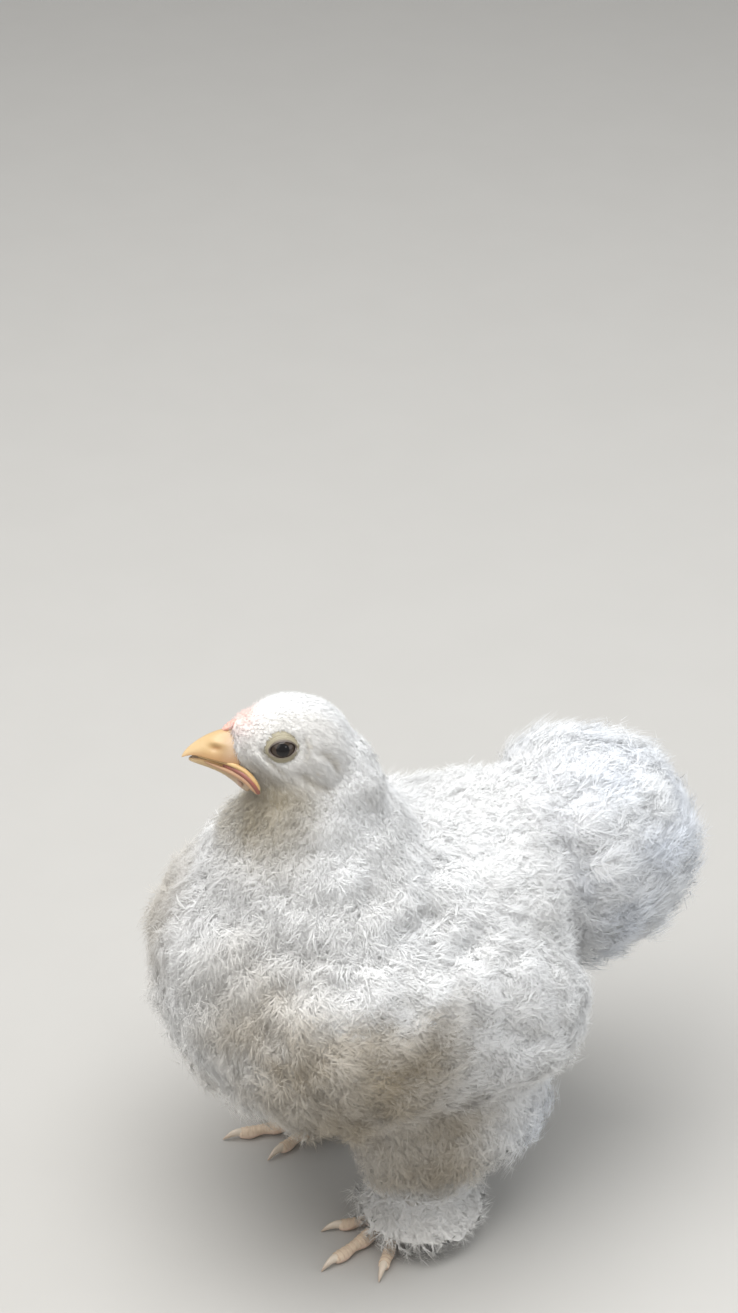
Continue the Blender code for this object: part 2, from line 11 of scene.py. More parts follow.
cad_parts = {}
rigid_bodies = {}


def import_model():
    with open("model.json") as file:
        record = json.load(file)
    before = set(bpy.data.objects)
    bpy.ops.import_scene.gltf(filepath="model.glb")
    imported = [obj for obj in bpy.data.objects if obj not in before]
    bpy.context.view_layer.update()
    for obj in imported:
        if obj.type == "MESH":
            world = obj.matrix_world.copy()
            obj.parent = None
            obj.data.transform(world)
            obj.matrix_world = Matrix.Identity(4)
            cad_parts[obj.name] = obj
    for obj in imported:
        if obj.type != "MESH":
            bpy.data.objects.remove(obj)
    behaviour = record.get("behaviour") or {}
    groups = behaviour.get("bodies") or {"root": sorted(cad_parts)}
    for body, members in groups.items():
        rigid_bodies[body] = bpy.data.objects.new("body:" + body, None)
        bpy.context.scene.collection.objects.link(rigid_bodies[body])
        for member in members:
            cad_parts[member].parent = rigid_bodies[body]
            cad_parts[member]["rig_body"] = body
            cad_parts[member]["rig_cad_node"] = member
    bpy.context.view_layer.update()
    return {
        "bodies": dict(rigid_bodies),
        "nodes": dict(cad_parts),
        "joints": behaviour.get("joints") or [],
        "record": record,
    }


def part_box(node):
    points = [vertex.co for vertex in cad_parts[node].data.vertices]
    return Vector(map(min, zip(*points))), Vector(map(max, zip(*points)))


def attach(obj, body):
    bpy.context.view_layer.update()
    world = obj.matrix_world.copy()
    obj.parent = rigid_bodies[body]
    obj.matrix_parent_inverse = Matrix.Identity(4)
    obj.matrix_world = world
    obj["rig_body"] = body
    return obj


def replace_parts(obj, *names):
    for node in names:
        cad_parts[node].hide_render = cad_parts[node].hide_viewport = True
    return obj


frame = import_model()
bpy.ops.object.select_all(action="DESELECT")
mm = 0.001
sides = (("left", 1), ("right", -1))

# The bird's own measures count from the middle of its breast, the frame from the middle of its box.
breastPlace = 4
torsoLow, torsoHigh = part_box("torso")
birdShift = Vector((0, (torsoLow.y + torsoHigh.y) / 2 - breastPlace * mm, 0))
birdFrame = Matrix.Translation(birdShift)
headPose = {"place": (-4, -21.5, 163.5), "turn": -30.6, "lift": -18.5, "tilt": -18.2}
headFrame = birdFrame @ Matrix.Translation(Vector(headPose["place"]) * mm)
for angle, axis in (("turn", "Z"), ("lift", "X"), ("tilt", "Y")):
    headFrame = headFrame @ Matrix.Rotation(math.radians(headPose[angle]), 4, axis)
headInverse = headFrame.inverted()


# materials


class Wire:
    # a value in a material, so that masks are written as sums
    def __init__(self, tree, socket):
        self.tree = tree
        self.socket = socket

    def sum(self, operation, first, second):
        node = self.tree.nodes.new("ShaderNodeMath")
        node.operation = operation
        for slot, value in zip(node.inputs, (first, second)):
            if isinstance(value, Wire):
                self.tree.links.new(value.socket, slot)
            else:
                slot.default_value = value
        return Wire(self.tree, node.outputs[0])

    def __add__(self, other):
        return self.sum("ADD", self, other)

    def __sub__(self, other):
        return self.sum("SUBTRACT", self, other)

    def __rsub__(self, other):
        return self.sum("SUBTRACT", other, self)

    def __mul__(self, other):
        return self.sum("MULTIPLY", self, other)

    __radd__ = __add__
    __rmul__ = __mul__

    def least(self, other):
        return self.sum("MINIMUM", self, other)


class Finish:
    # one material with its nodes
    def __init__(self, name, roughness, **constants):
        self.material = bpy.data.materials.new(name)
        self.material.use_nodes = True
        self.tree = self.material.node_tree
        self.shader = self.tree.nodes["Principled BSDF"]
        self.shader.inputs["Roughness"].default_value = roughness
        for socket, value in constants.items():
            self.shader.inputs[socket.replace("_", " ")].default_value = value

    def node(self, kind, settings=None, inputs=None, output=0):
        node = self.tree.nodes.new("ShaderNode" + kind)
        for setting, value in (settings or {}).items():
            setattr(node, setting, value)
        for socket, value in (inputs or {}).items():
            if isinstance(value, Wire):
                self.tree.links.new(value.socket, node.inputs[socket])
            else:
                node.inputs[socket].default_value = value
        return Wire(self.tree, node.outputs[output])

    def attribute(self, name):
        return self.node("Attribute", {"attribute_name": name}, output="Fac")

    def pattern(self, kind, scale, **inputs):
        # a pattern that stays in place on the piece
        place = self.node("TexCoord", output="Object")
        return self.node("Tex" + kind, inputs={"Vector": place, "Scale": scale, **inputs})

    def noise(self, scale, detail=2.0, roughness=0.5):
        return self.pattern("Noise", scale, Detail=detail, Roughness=roughness)

    def ease(self, value, low, high):
        # 0 below low and 1 above high, smooth between them
        inputs = {"Value": value, "From Min": low, "From Max": high}
        return self.node("MapRange", {"interpolation_type": "SMOOTHSTEP"}, inputs)

    def mix(self, share, first, second):
        inputs = {"Factor": share}
        for slot, value in ((6, first), (7, second)):
            inputs[slot] = value if isinstance(value, Wire) else (*value, 1)
        return self.node("Mix", {"data_type": "RGBA"}, inputs, 2)

    def bump(self, height, strength, distance):
        inputs = {"Height": height, "Strength": strength, "Distance": distance}
        return self.node("Bump", inputs=inputs)

    def wire(self, **links):
        for socket, value in links.items():
            self.tree.links.new(value.socket, self.shader.inputs[socket.replace("_", " ")])
        return self.material


# small helpers for modelling


def pick(*pieces):
    # selects these pieces only, the first of them active
    bpy.ops.object.select_all(action="DESELECT")
    for piece in pieces:
        piece.select_set(True)
    bpy.context.view_layer.objects.active = pieces[0]


def pointsOf(piece, key="co"):
    # the places, or with the key "normal" the ways out, of a mesh's points
    values = np.empty(len(piece.data.vertices) * 3, np.float32)
    piece.data.vertices.foreach_get(key, values)
    return values.reshape(-1, 3).astype(float)


def putPoints(piece, points):
    piece.data.vertices.foreach_set("co", points.astype(np.float32).ravel())
    piece.data.update()


def putMasks(mesh, masks):
    for key, values in masks.items():
        layer = mesh.attributes.new(key, "FLOAT", "POINT")
        layer.data.foreach_set("value", values.ravel().astype(np.float32))


def modify(piece, kind, **settings):
    pick(piece)
    modifier = piece.modifiers.new(kind.lower(), kind)
    for name, value in settings.items():
        setattr(modifier, name, value)
    bpy.ops.object.modifier_apply(modifier=modifier.name)


def ease(value, low, high):
    share = np.clip((value - low) / (high - low), 0, 1)
    return share * share * (3 - 2 * share)


def bell(away):
    # 1 at nought, and soon 0 past one
    return np.exp(-(away**2))


def blend(first, second, share):
    return first * (1 - share) + second * share


def length(vectors):
    return np.linalg.norm(vectors, axis=-1)


def unit(vectors):
    return vectors / np.maximum(np.linalg.norm(vectors, axis=-1, keepdims=True), 1e-9)


def dot(first, second):
    return np.einsum("ij,ij->i", first, second)


def between(shares, corners):
    # values at the corners of triangles, mixed by the shares
    return np.einsum("ij,ijk->ik", shares, corners)


def carry(points, frame):
    turn = np.array(frame)
    return points @ turn[:3, :3].T + turn[:3, 3]


def inBird(points):
    # metres in the frame to millimetres from the middle of the breast
    return (points - np.array(birdShift)) / mm


def inHead(points):
    return carry(points, headInverse) / mm


def noiseAt(points, size, shift=(0, 0, 0)):
    return np.array([noise.noise(Vector(point) / size + Vector(shift)) for point in points.tolist()])


def spline(points, count):
    # a smooth line through the points, whatever number of values each has
    points = np.asarray(points, float)
    ends = np.concatenate([[2 * points[0] - points[1]], points, [2 * points[-1] - points[-2]]])
    at = np.linspace(0, len(points) - 1, count)
    low = np.minimum(at.astype(int), len(points) - 2)
    t = (at - low)[:, None]
    a, b, c, d = (ends[low + step] for step in range(4))
    return (2 * b + (c - a) * t + (2 * a - 5 * b + 4 * c - d) * t**2 + (3 * b - a - 3 * c + d) * t**3) / 2


# folds of the face, as lines of y and z on the side of the head, with their width
faceLines = {
    "ridge": (
        (((-6.3, -4.0), (-4.0, -5.2), (-1.7, -6.3), (0.8, -7.3), (3.0, -8.2)), 0.9),
        (((10.6, -0.6), (12.8, -2.2), (14.6, -4.2)), 1.5),
    ),
    "groove": (
        (((-6.7, -8.0), (-4.4, -9.0), (-1.4, -10.3), (1.6, -11.6)), 0.9),
        (((-5.4, -2.2), (-3.6, -4.2), (-1.0, -5.4), (1.8, -6.4)), 0.6),
        (((10.2, 1.8), (13.2, 0.9), (15.8, -1.6)), 0.9),
        (((7.4, -5.6), (10.4, -7.0), (15.4, -7.4)), 1.1),
        (((4.6, 4.6), (6.2, 2.4), (6.2, -0.6)), 0.6),
    ),
}
faceReach = 26


def foldsAt(head, kind):
    # 1 on the folds of one kind, 0 away from them
    share = np.zeros(len(head))
    near = length(head) < faceReach
    for line, width in faceLines[kind]:
        away = length(head[near, None, 1:] - spline(line, 16)[None]).min(1)
        share[near] = np.maximum(share[near], bell(away / width))
    return share * ease(np.abs(head[:, 0]), 6, 8.5)


# skin: the solids' flesh and some ovals, joined, smoothed and drawn in by the depth of the coat

skinShape = {
    "flesh": ("torso", "neck", "head", "thigh_left", "thigh_right"),
    "voxel": 1.15,
    "middle": {  # place and radii
        "tail": ((0, 71, 99.5), (29, 36, 32.5)),
        "rump": ((0, 46, 101), (30, 28, 27)),
        "saddle": ((0, 57, 109), (25, 22, 23)),
        "vent": ((0, 57, 88), (24, 16, 18)),
        "nape": ((-2, -9, 156), (9.5, 9, 12)),
    },
    "onHead": (
        ((0, 17, 0), (9.8, 10.2, 9)),
        ((0, 23, -8), (10.5, 10.5, 11)),
        ((0, -10.3, -0.8), (7, 6.6, 6.3)),
    ),
    "paired": {  # place, radii and lean
        "wing": ((39, 8, 84), (14, 49, 25), -10),
        "shoulder": ((32, -12, 83), (24, 42, 34), 0),
        "flank": ((31, 19, 71), (23, 42, 25), 0),
        "mantle": ((32, -6, 98), (15.5, 36, 17), 0),
        "thigh": ((26, 14, 52), (23, 31, 16), 0),
        "hock": ((32, 27, 49), (17, 19, 17), 0),
        "calf": ((25.5, 6.5, 25), (15.5, 15.5, 15.5), 0),
        "plume": ((30, 6, 9), (22, 23, 9.5), 0),
    },
    "socket": {"place": 6.6, "radius": 5.6, "wide": 4.5, "deep": 2.4},
    "rounds": 22,
    "lastRounds": 6,
    "ridge": 0.75,
    "groove": 0.85,
    "crown": {"place": (0, -5, 12), "radius": 9, "high": 1.2},
}


def addOval(centre, radii, lean=0.0, frame=birdFrame):
    bpy.ops.object.select_all(action="DESELECT")
    bpy.ops.mesh.primitive_uv_sphere_add(segments=40, ring_count=24, radius=1)
    piece = bpy.context.object
    turn = Matrix.Rotation(math.radians(lean), 4, "X")
    size = Matrix.Diagonal((*(Vector(radii) * mm), 1))
    piece.matrix_world = frame @ Matrix.Translation(Vector(centre) * mm) @ turn @ size
    pick(piece)
    bpy.ops.object.transform_apply(location=True, rotation=True, scale=True)
    return piece


def gatherFlesh():
    flesh = []
    for name in skinShape["flesh"]:
        copy = frame["nodes"][name].copy()
        copy.data = copy.data.copy()
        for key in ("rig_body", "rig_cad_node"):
            del copy[key]
        copy.parent = None
        bpy.context.collection.objects.link(copy)
        modify(copy, "WELD", merge_threshold=0.00002)
        flesh.append(copy)
    for centre, radii in skinShape["middle"].values():
        flesh.append(addOval(centre, radii))
    for centre, radii in skinShape["onHead"]:
        flesh.append(addOval(centre, radii, frame=headFrame))
    socket = skinShape["socket"]
    for _, side in sides:
        for centre, radii, lean in skinShape["paired"].values():
            flesh.append(addOval((centre[0] * side, *centre[1:]), radii, lean))
        eye = headFrame @ Vector((socket["place"] * side * mm, 0, 0))
        flesh.append(addOval(inBird(np.array(eye)), (socket["radius"],) * 3))  # fills the socket
    return flesh


def makeSkin():
    flesh = gatherFlesh()
    pick(*flesh)
    bpy.ops.object.join()
    skin = flesh[0]
    skin.name = "skin"
    skin.data.materials.clear()
    modify(skin, "REMESH", mode="VOXEL", voxel_size=skinShape["voxel"] * mm)
    modify(skin, "SMOOTH", factor=0.5, iterations=skinShape["rounds"])
    points = pointsOf(skin)
    depth = coatDepth(inBird(points), inHead(points)) * mm
    putPoints(skin, points - pointsOf(skin, "normal") * depth[:, None])
    modify(skin, "SMOOTH", factor=0.5, iterations=skinShape["lastRounds"])
    points = pointsOf(skin)
    head = inHead(points)
    out = foldsAt(head, "ridge") * skinShape["ridge"] - foldsAt(head, "groove") * skinShape["groove"]
    socket, crown = skinShape["socket"], skinShape["crown"]
    hollow = np.exp(-((length(head[:, 1:]) / socket["wide"]) ** 6)) * ease(np.abs(head[:, 0]), 5, 8)
    out = out - hollow * socket["deep"]
    out = out + bell(length(head - crown["place"]) / crown["radius"]) * crown["high"]
    putPoints(skin, points + pointsOf(skin, "normal") * (out * mm)[:, None])
    pick(skin)
    bpy.ops.object.shade_smooth()
    return skin


# the lie of the coat, in millimetres for each part of the body

coatShape = {
    "depth": {"body": 4.8, "tail": 0, "wing": 0, "thigh": 4.5, "head": 1.1},
    "length": {"body": 15.5, "tail": 20.0, "wing": 16.5, "thigh": 15.5},
    "lift": {"tail": 6.0, "wing": 3.4, "head": 1.25},
    "tail": {"place": (0, 78, 99.5), "radii": (30, 34, 34)},
    "wing": {"y": 7, "z": 85, "long": 51, "high": 25, "droop": 10},
}


def regionsOf(bird, head):
    # shares of head, neck, tail, wing and thigh at each point
    x, y, z = bird.T
    tail, wing = coatShape["tail"], coatShape["wing"]
    tailAway = length((bird - tail["place"]) / tail["radii"])
    droop = math.radians(wing["droop"])
    along = (y - wing["y"]) * math.cos(droop) - (z - wing["z"]) * math.sin(droop)
    upward = (y - wing["y"]) * math.sin(droop) + (z - wing["z"]) * math.cos(droop)
    wingAway = (np.abs(along / wing["long"]) ** 3 + np.abs(upward / wing["high"]) ** 3) ** (1 / 3)
    return SimpleNamespace(
        head=1 - ease(length(head - (0, 3, -1)), 14, 20),
        neck=ease(z, 98, 122) * (1 - ease(y, 8, 34)),
        tail=(1 - ease(tailAway, 1.02, 1.22)) * ease(y, 58, 68),
        wing=(1 - ease(wingAway, 0.6, 1.1)) * ease(np.abs(x), 34, 48),
        thigh=(1 - ease(z, 48, 62)) * ease(np.abs(x), 1, 9) * (1 - ease(y, 40, 56)) * ease(y, -24, -14),
    )


def coatDepth(bird, head):
    share = regionsOf(bird, head)
    z = bird[:, 2]
    depth = coatShape["depth"]["body"]
    depth = depth - 1.4 * ease(z, 96, 140) * share.neck - 1.3 * ease(z, 128, 152) * share.neck
    for part in ("tail", "wing", "thigh", "head"):
        depth = blend(depth, coatShape["depth"][part], getattr(share, part))
    return depth


def featherLength(bird, head):
    share = regionsOf(bird, head)
    y, z = bird.T[1:]
    long = coatShape["length"]["body"] + 4.5 * ease(y, 30, 60) * (1 - ease(z, 60, 110))
    long = long - 5 * share.neck * ease(z, 104, 134) - 4.6 * share.neck * ease(z, 130, 152)
    for part in ("tail", "wing", "thigh"):
        long = blend(long, coatShape["length"][part], getattr(share, part))
    face = ease(head[:, 1], 9, -9)
    onHead = 4.6 - 2.5 * face - 0.6 * ease(head[:, 2], 4, 12)
    return blend(long, onHead, share.head)


def featherLift(bird, head):
    share = regionsOf(bird, head)
    more = coatShape["lift"]
    lift = coatDepth(bird, head) + more["tail"] * share.tail + more["wing"] * share.wing
    return blend(lift, more["head"], share.head)


def layOf(bird, head):
    # which way the feathers point, before they are laid along the surface
    share = regionsOf(bird, head)
    x, y, z = bird.T
    nought = np.zeros_like(x)

    def way(across, back, up):
        return np.stack([nought + across, nought + back, nought + up], 1)

    lay = way(0, 1.0, -0.42)
    for other, part in (
        (way(x / 90, 0.2, -1.0), ease(-y, -12, 46)),
        (way(0, 0.5, -1.0), ease(y, 40, 62) * (1 - ease(z, 70, 98))),
        (way(0, 0.9, -0.62), ease(np.abs(x), 20, 44) * ease(y, -46, 0) * 0.75),
        (way(x / 60, (y + 12) / 60, -0.9), share.neck),
        (way(0, 0.35, -1.0), share.thigh),
        (way(0, 1.0, -0.32), share.wing),
        (way(x / 60, 1.0, (z - 98) / 50 + 0.15), share.tail),
    ):
        lay = blend(lay, other, part[:, None])
    fromBill = unit(head - (0, -17, -6)) @ np.array(headFrame)[:3, :3].T
    return unit(blend(lay, fromBill + (0, 0, -0.55), share.head[:, None]))


coatGaps = {  # least gap, share of a feather's length, longest that counts, and more on the thighs
    "vanes": (0.6, 0.25, 99, 0),
    "down": (0.66, 0.115, 16, 0),
    "fuzz": (0.52, 0.05, 12.6, 0.22),
}


def gapOf(kind, bird, head):
    least, share, longest, onThighs = coatGaps[kind]
    gap = least + share * np.minimum(featherLength(bird, head), longest)
    return gap + onThighs * regionsOf(bird, head).thigh


def covered(head):
    # 1 where feathers grow, 0 on the mouth and round the eyes
    bare = 1 - ease(length(head - (0, -17, -8.5)), 5.5, 7.5)
    long, high = head[:, 1] * 0.9 + head[:, 2] * 0.44, head[:, 2] * 0.9 - head[:, 1] * 0.44
    eyeAway = np.sqrt(long**2 + (high * 1.2) ** 2)
    return 1 - np.maximum(bare, (1 - ease(eyeAway, 3.2, 3.8)) * ease(np.abs(head[:, 0]), 6, 8))


coatWalk = {
    "tries": 4.2,  # roots drawn for each that there is room for
    "mostTries": {"vanes": 60000, "down": 160000, "fuzz": 160000},
    "room": 0.78,  # share of a gap kept free round a root
    "past": 0.55,  # share of a step that the skin may be away before a feather leaves it
    "stations": 4,
}


class Bed:
    # the skin as something that feathers walk over
    def __init__(self, skin):
        skin.data.calc_loop_triangles()
        triangles = skin.data.loop_triangles
        corners, loops = np.empty((2, len(triangles) * 3), np.int32)
        triangles.foreach_get("vertices", corners)
        triangles.foreach_get("loops", loops)
        self.points = pointsOf(skin)
        self.normals = pointsOf(skin, "normal")
        self.corners = corners.reshape(-1, 3)
        spots = np.empty(len(skin.data.loops) * 2, np.float32)
        skin.data.uv_layers["OFBake"].data.foreach_get("uv", spots)
        self.spots = spots.reshape(-1, 2)[loops.reshape(-1, 3)]
        self.tree = BVHTree.FromPolygons(self.points.tolist(), self.corners.tolist())

    def shares(self, points, found):
        # how near each point is to the corners of its triangle
        first, second, third = (self.points[self.corners[found, corner]] for corner in range(3))
        across, up, away = second - first, third - first, points - first
        aa, ab, bb = dot(across, across), dot(across, up), dot(up, up)
        pa, pb = dot(away, across), dot(away, up)
        whole = np.maximum(aa * bb - ab * ab, 1e-20)
        v = np.clip((bb * pa - ab * pb) / whole, 0, 1)
        w = np.clip((aa * pb - ab * pa) / whole, 0, 1)
        return np.stack([np.clip(1 - v - w, 0, 1), v, w], 1)

    def nearest(self, points):
        found = [self.tree.find_nearest(point)[::2] for point in points.tolist()]
        faces = np.array([face for _, face in found])
        places = np.array([tuple(place) for place, _ in found])
        shares = self.shares(places, faces)
        normals = unit(between(shares, self.normals[self.corners[faces]]))
        return places, normals, between(shares, self.spots[faces])

    def scatter(self, kind):
        # roots, ways out and places on the unwrap, about one gap apart
        first, second, third = (self.points[self.corners[:, corner]] for corner in range(3))
        middle = self.points[self.corners].mean(1)
        area = length(np.cross(second - first, third - first)) / 2 / mm**2
        spacing = gapOf(kind, inBird(middle), inHead(middle))
        share = area / spacing**2 * covered(inHead(middle))
        count = int(min(share.sum() * coatWalk["tries"], coatWalk["mostTries"][kind]))
        face = draw.choice(len(share), count, p=share / share.sum())
        v, w = draw.random(count), draw.random(count)
        over = v + w > 1
        v[over], w[over] = 1 - v[over], 1 - w[over]
        shares = np.stack([1 - v - w, v, w], 1)
        points = between(shares, self.points[self.corners[face]])
        tree = treeOf(points)
        free = np.ones(count, bool)
        kept = []
        reach = spacing[face] * coatWalk["room"] * mm
        for index in range(count):
            if free[index]:
                kept.append(index)
                for _, other, _ in tree.find_range(points[index], reach[index]):
                    free[other] = False
        kept = np.array(kept)
        print(kind, "roots:", len(kept))
        normals = unit(between(shares[kept], self.normals[self.corners[face[kept]]]))
        return points[kept], normals, between(shares[kept], self.spots[face[kept]])

    def walk(self, roots, normals, lengths, turn):
        # the line that each feather follows over the skin, with the way out and along at each station
        places, outs, alongs = [roots], [normals], []
        strayed = np.zeros(len(roots), bool)
        step = lengths / (coatWalk["stations"] - 1)
        for station in range(coatWalk["stations"]):
            lay = layOf(inBird(places[-1]), inHead(places[-1]))
            lay = unit(lay - outs[-1] * dot(lay, outs[-1])[:, None] * 0.999)
            side = np.cross(lay, outs[-1])
            lay = unit(lay * np.cos(turn)[:, None] + side * np.sin(turn)[:, None])
            alongs.append(lay)
            if station < coatWalk["stations"] - 1:
                ahead = places[-1] + lay * step[:, None]
                place, out, _ = self.nearest(ahead)
                # past an edge of the skin the feather goes straight on
                past = length(place - ahead) > step * coatWalk["past"]
                strayed |= past
                place[past] = ahead[past]
                out[past] = outs[-1][past]
                places.append(place)
                outs.append(out)
        return np.stack(places, 1), np.stack(outs, 1), np.stack(alongs, 1), strayed


def treeOf(points):
    tree = KDTree(len(points))
    for index, point in enumerate(points.tolist()):
        tree.insert(point, index)
    tree.balance()
    return tree


def along(values, share):
    # values at the stations, read at a share of the way along
    position = np.clip(share, 0, 1) * (values.shape[1] - 1)
    below = np.minimum(position.astype(int), values.shape[1] - 2)
    rest = (position - below)[:, None]
    rows = np.arange(len(values))
    return values[rows, below] * (1 - rest) + values[rows, below + 1] * rest


def bladeFaces(rings):
    # a closed three-sided blade with a base, rings and a tip
    faces = [(0, 1, 2)]
    for ring in range(rings - 1):
        low, high = 3 * ring, 3 * ring + 3
        for first, second in ((1, 0), (2, 1), (0, 2)):
            faces += [(low + first, low + second, high + second), (low + first, high + second, high + first)]
    last, tip = 3 * rings - 3, 3 * rings
    faces += [(last + first, last + second, tip) for first, second in ((1, 0), (2, 1), (0, 2))]
    return np.array(faces)


def vaneFaces(stations):
    # a closed four-sided vane, whose fourth side is its underside
    faces = [(0, 3, 1), (1, 3, 2)]
    for low in range(0, stations * 4 - 4, 4):
        high = low + 4
        for first, second in ((1, 0), (2, 1), (3, 2), (0, 3)):
            faces += [(low + second, low + first, high + first), (low + second, high + first, high + second)]
    last = stations * 4 - 4
    return np.array(faces + [(last, last + 1, last + 3), (last + 1, last + 2, last + 3)])


patchSize = 0.003  # of a tuft on the unwrap
floorGap = 0.2


def coatPiece(name, roots, points, faces, patch, spots, tones, normals):
    # many closed shapes of one kind as one mesh, some for each root
    each, vertices = points.shape[1:3]
    copies = len(roots) * each
    faces = ((np.arange(copies) * vertices)[:, None, None] + faces[None]).reshape(-1, 3)
    points, normals = points.reshape(-1, 3), normals.reshape(-1, 3)
    points[:, 2] = np.maximum(points[:, 2], floorGap * mm)  # none goes through the floor
    spots = (spots[:, None, None] + (patch - 0.5) * patchSize).reshape(-1, 2)
    mesh = bpy.data.meshes.new(name)
    mesh.vertices.add(len(points))
    mesh.vertices.foreach_set("co", points.astype(np.float32).ravel())
    mesh.loops.add(faces.size)
    mesh.loops.foreach_set("vertex_index", faces.astype(np.int32).ravel())
    mesh.polygons.add(len(faces))
    mesh.polygons.foreach_set("loop_start", np.arange(0, faces.size, 3, dtype=np.int32))
    mesh.polygons.foreach_set("use_smooth", np.ones(len(faces), bool))
    layer = mesh.uv_layers.new(name="OFBake")
    layer.data.foreach_set("uv", spots[faces.ravel()].astype(np.float32).ravel())
    putMasks(mesh, {key: np.repeat(values, each * vertices) for key, values in markings(roots).items()})
    putMasks(mesh, tones)
    mesh.update(calc_edges=True)
    if len(normals) == len(points):
        mesh.normals_split_custom_set_from_vertices(normals)  # soft shading, as down has
    else:
        mesh.normals_split_custom_set(normals)
    mesh.materials.append(coatFinish)
    piece = bpy.data.objects.new(name, mesh)
    bpy.context.collection.objects.link(piece)
    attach(piece, "root")
    print(name, len(faces), "faces")


def lumpsAt(bird, normals, size):
    # the height, and the slope along the skin, of the soft lumps in the coat
    step = size * 0.1
    height = noiseAt(bird, size)
    slope = np.stack([noiseAt(bird + way, size) - height for way in np.eye(3) * step], 1) / 0.1
    return height, slope - normals * dot(slope, normals)[:, None]


tuftShape = {
    "uneven": (0.7, 1.15),  # least and most share of the usual length and lift
    "outerShort": 0.24,
    "outerLow": 0.3,
    "bend": 0.28,
    "ridge": 0.34,
    "foot": 0.75,
    "routeLift": 0.12,
    "clumpCrown": 1.12,
    "clumpFall": 0.5,
    "clumpTone": 0.65,
    "swirlSize": 14.0,
}


def growDown(name, roots, normals, spots, clumps, settings, route=None):
    # tufts of a few closed blades each, gathered into feathers by the clumps
    count, shape = len(roots), tuftShape
    bird, head = inBird(roots), inHead(roots)
    long = featherLength(bird, head) * draw.uniform(*shape["uneven"], count) * settings["length"]
    if route:
        long = route[3]
    lump, slope = lumpsAt(bird, normals, settings["lumpSize"])
    swirl = noiseAt(bird, shape["swirlSize"], (40, 0, 0))
    turn = draw.normal(0, settings["stray"], count) + swirl * settings["swirl"]
    places, outs, alongs = (route or bed.walk(roots, normals, long * mm, turn))[:3]
    lift = featherLift(bird, head) * (1 + lump * settings["lump"]) * draw.uniform(*shape["uneven"], count)
    if route:
        lift = shape["routeLift"] * long
    pull, bulge = np.zeros((2, count, 3))
    tone = draw.uniform(0, 1, count)
    if clumps:
        tree, seats, tips, widths, tones = clumps
        for index, point in enumerate(roots.tolist()):
            _, which, away = tree.find(point)
            pull[index] = tips[which] - places[index, -1]
            lift[index] *= shape["clumpCrown"] - shape["clumpFall"] * min(away / mm / widths[which], 1) ** 2
            bulge[index] = (point - seats[which]) / (widths[which] * mm)
            tone[index] = blend(tone[index], tones[which], shape["clumpTone"])
    slant = bulge * settings["puff"] - slope * (settings["lump"] * settings["relief"])
    blades, rings, begin = settings["blades"], settings["rings"], settings["start"]
    vertices = 3 * rings + 1
    stations = np.linspace(0, 1, rings + 1)
    shares = np.append(np.repeat(stations[:-1], 3), 1.0)
    points, ways, tints = [], [], []
    for lean in np.linspace(-1, 1, blades):
        reach = (1 - shape["outerShort"] * lean * lean) * draw.uniform(0.82, 1.08, count)
        side = (lean + draw.normal(0, 0.16, count)) * settings["fan"]
        height = lift * (1 - shape["outerLow"] * lean * lean) * draw.uniform(0.8, 1.2, count)
        broad = long * settings["broad"] * draw.uniform(0.75, 1.25, count) + settings["least"]
        curl = draw.normal(0, settings["curl"], count)
        for ring, share in enumerate(stations):
            t = np.full(count, share) * reach
            base, out, lay = along(places, t), along(outs, t), along(alongs, t)
            right = unit(np.cross(lay, out))
            over = np.maximum(t - 1, 0) * long
            rise = height * (begin + (1 - begin) * (1 - (1 - np.minimum(t, 1)) ** 2))
            offset = side * long * t * (1 - shape["bend"] * t) + curl * long * share * share
            middle = base + (lay * over[:, None] + out * rise[:, None] + right * offset[:, None]) * mm
            middle = middle + pull * (settings["gather"] * share**1.4)
            outward = unit(out + slant * share + right * (side * settings["roll"])[:, None])
            if ring == rings:
                points.append(middle)
                ways.append(unit(outward + lay * 0.35))
                continue
            width = broad * (shape["foot"] if ring == 0 and rings > 1 else 1.0) * mm
            for across, up in ((-0.5, 0), (0.5, 0), (0, shape["ridge"])):
                points.append(middle + right * (width * across)[:, None] + out * (width * up)[:, None])
                ways.append(unit(outward + right * across * settings["round"]))
        tints.append(np.tile(tone[:, None] * 0.8 + 0.2 * draw.random((count, 1)), (1, vertices)))
    number = (np.arange(blades)[:, None] + 0.5) / blades + np.zeros(vertices)
    coatPiece(
        name,
        roots,
        np.stack(points, 1).reshape(count, blades, vertices, 3),
        bladeFaces(rings),
        np.stack([number, np.broadcast_to(shares, number.shape)], 2),
        spots,
        {"along": np.tile(shares, count * blades), "tone": np.stack(tints, 1)},
        np.stack(ways, 1),
    )


vaneShape = {
    "stations": (0.0, 0.3, 0.6, 0.85, 1.0),
    "widths": (0.3, 0.82, 0.95, 0.66, 0.14),
    "droop": -0.16,
    "ridge": 0.22,
    "keel": -0.132,
    "proud": 1.15,  # how far past its lift a vane may stand
}


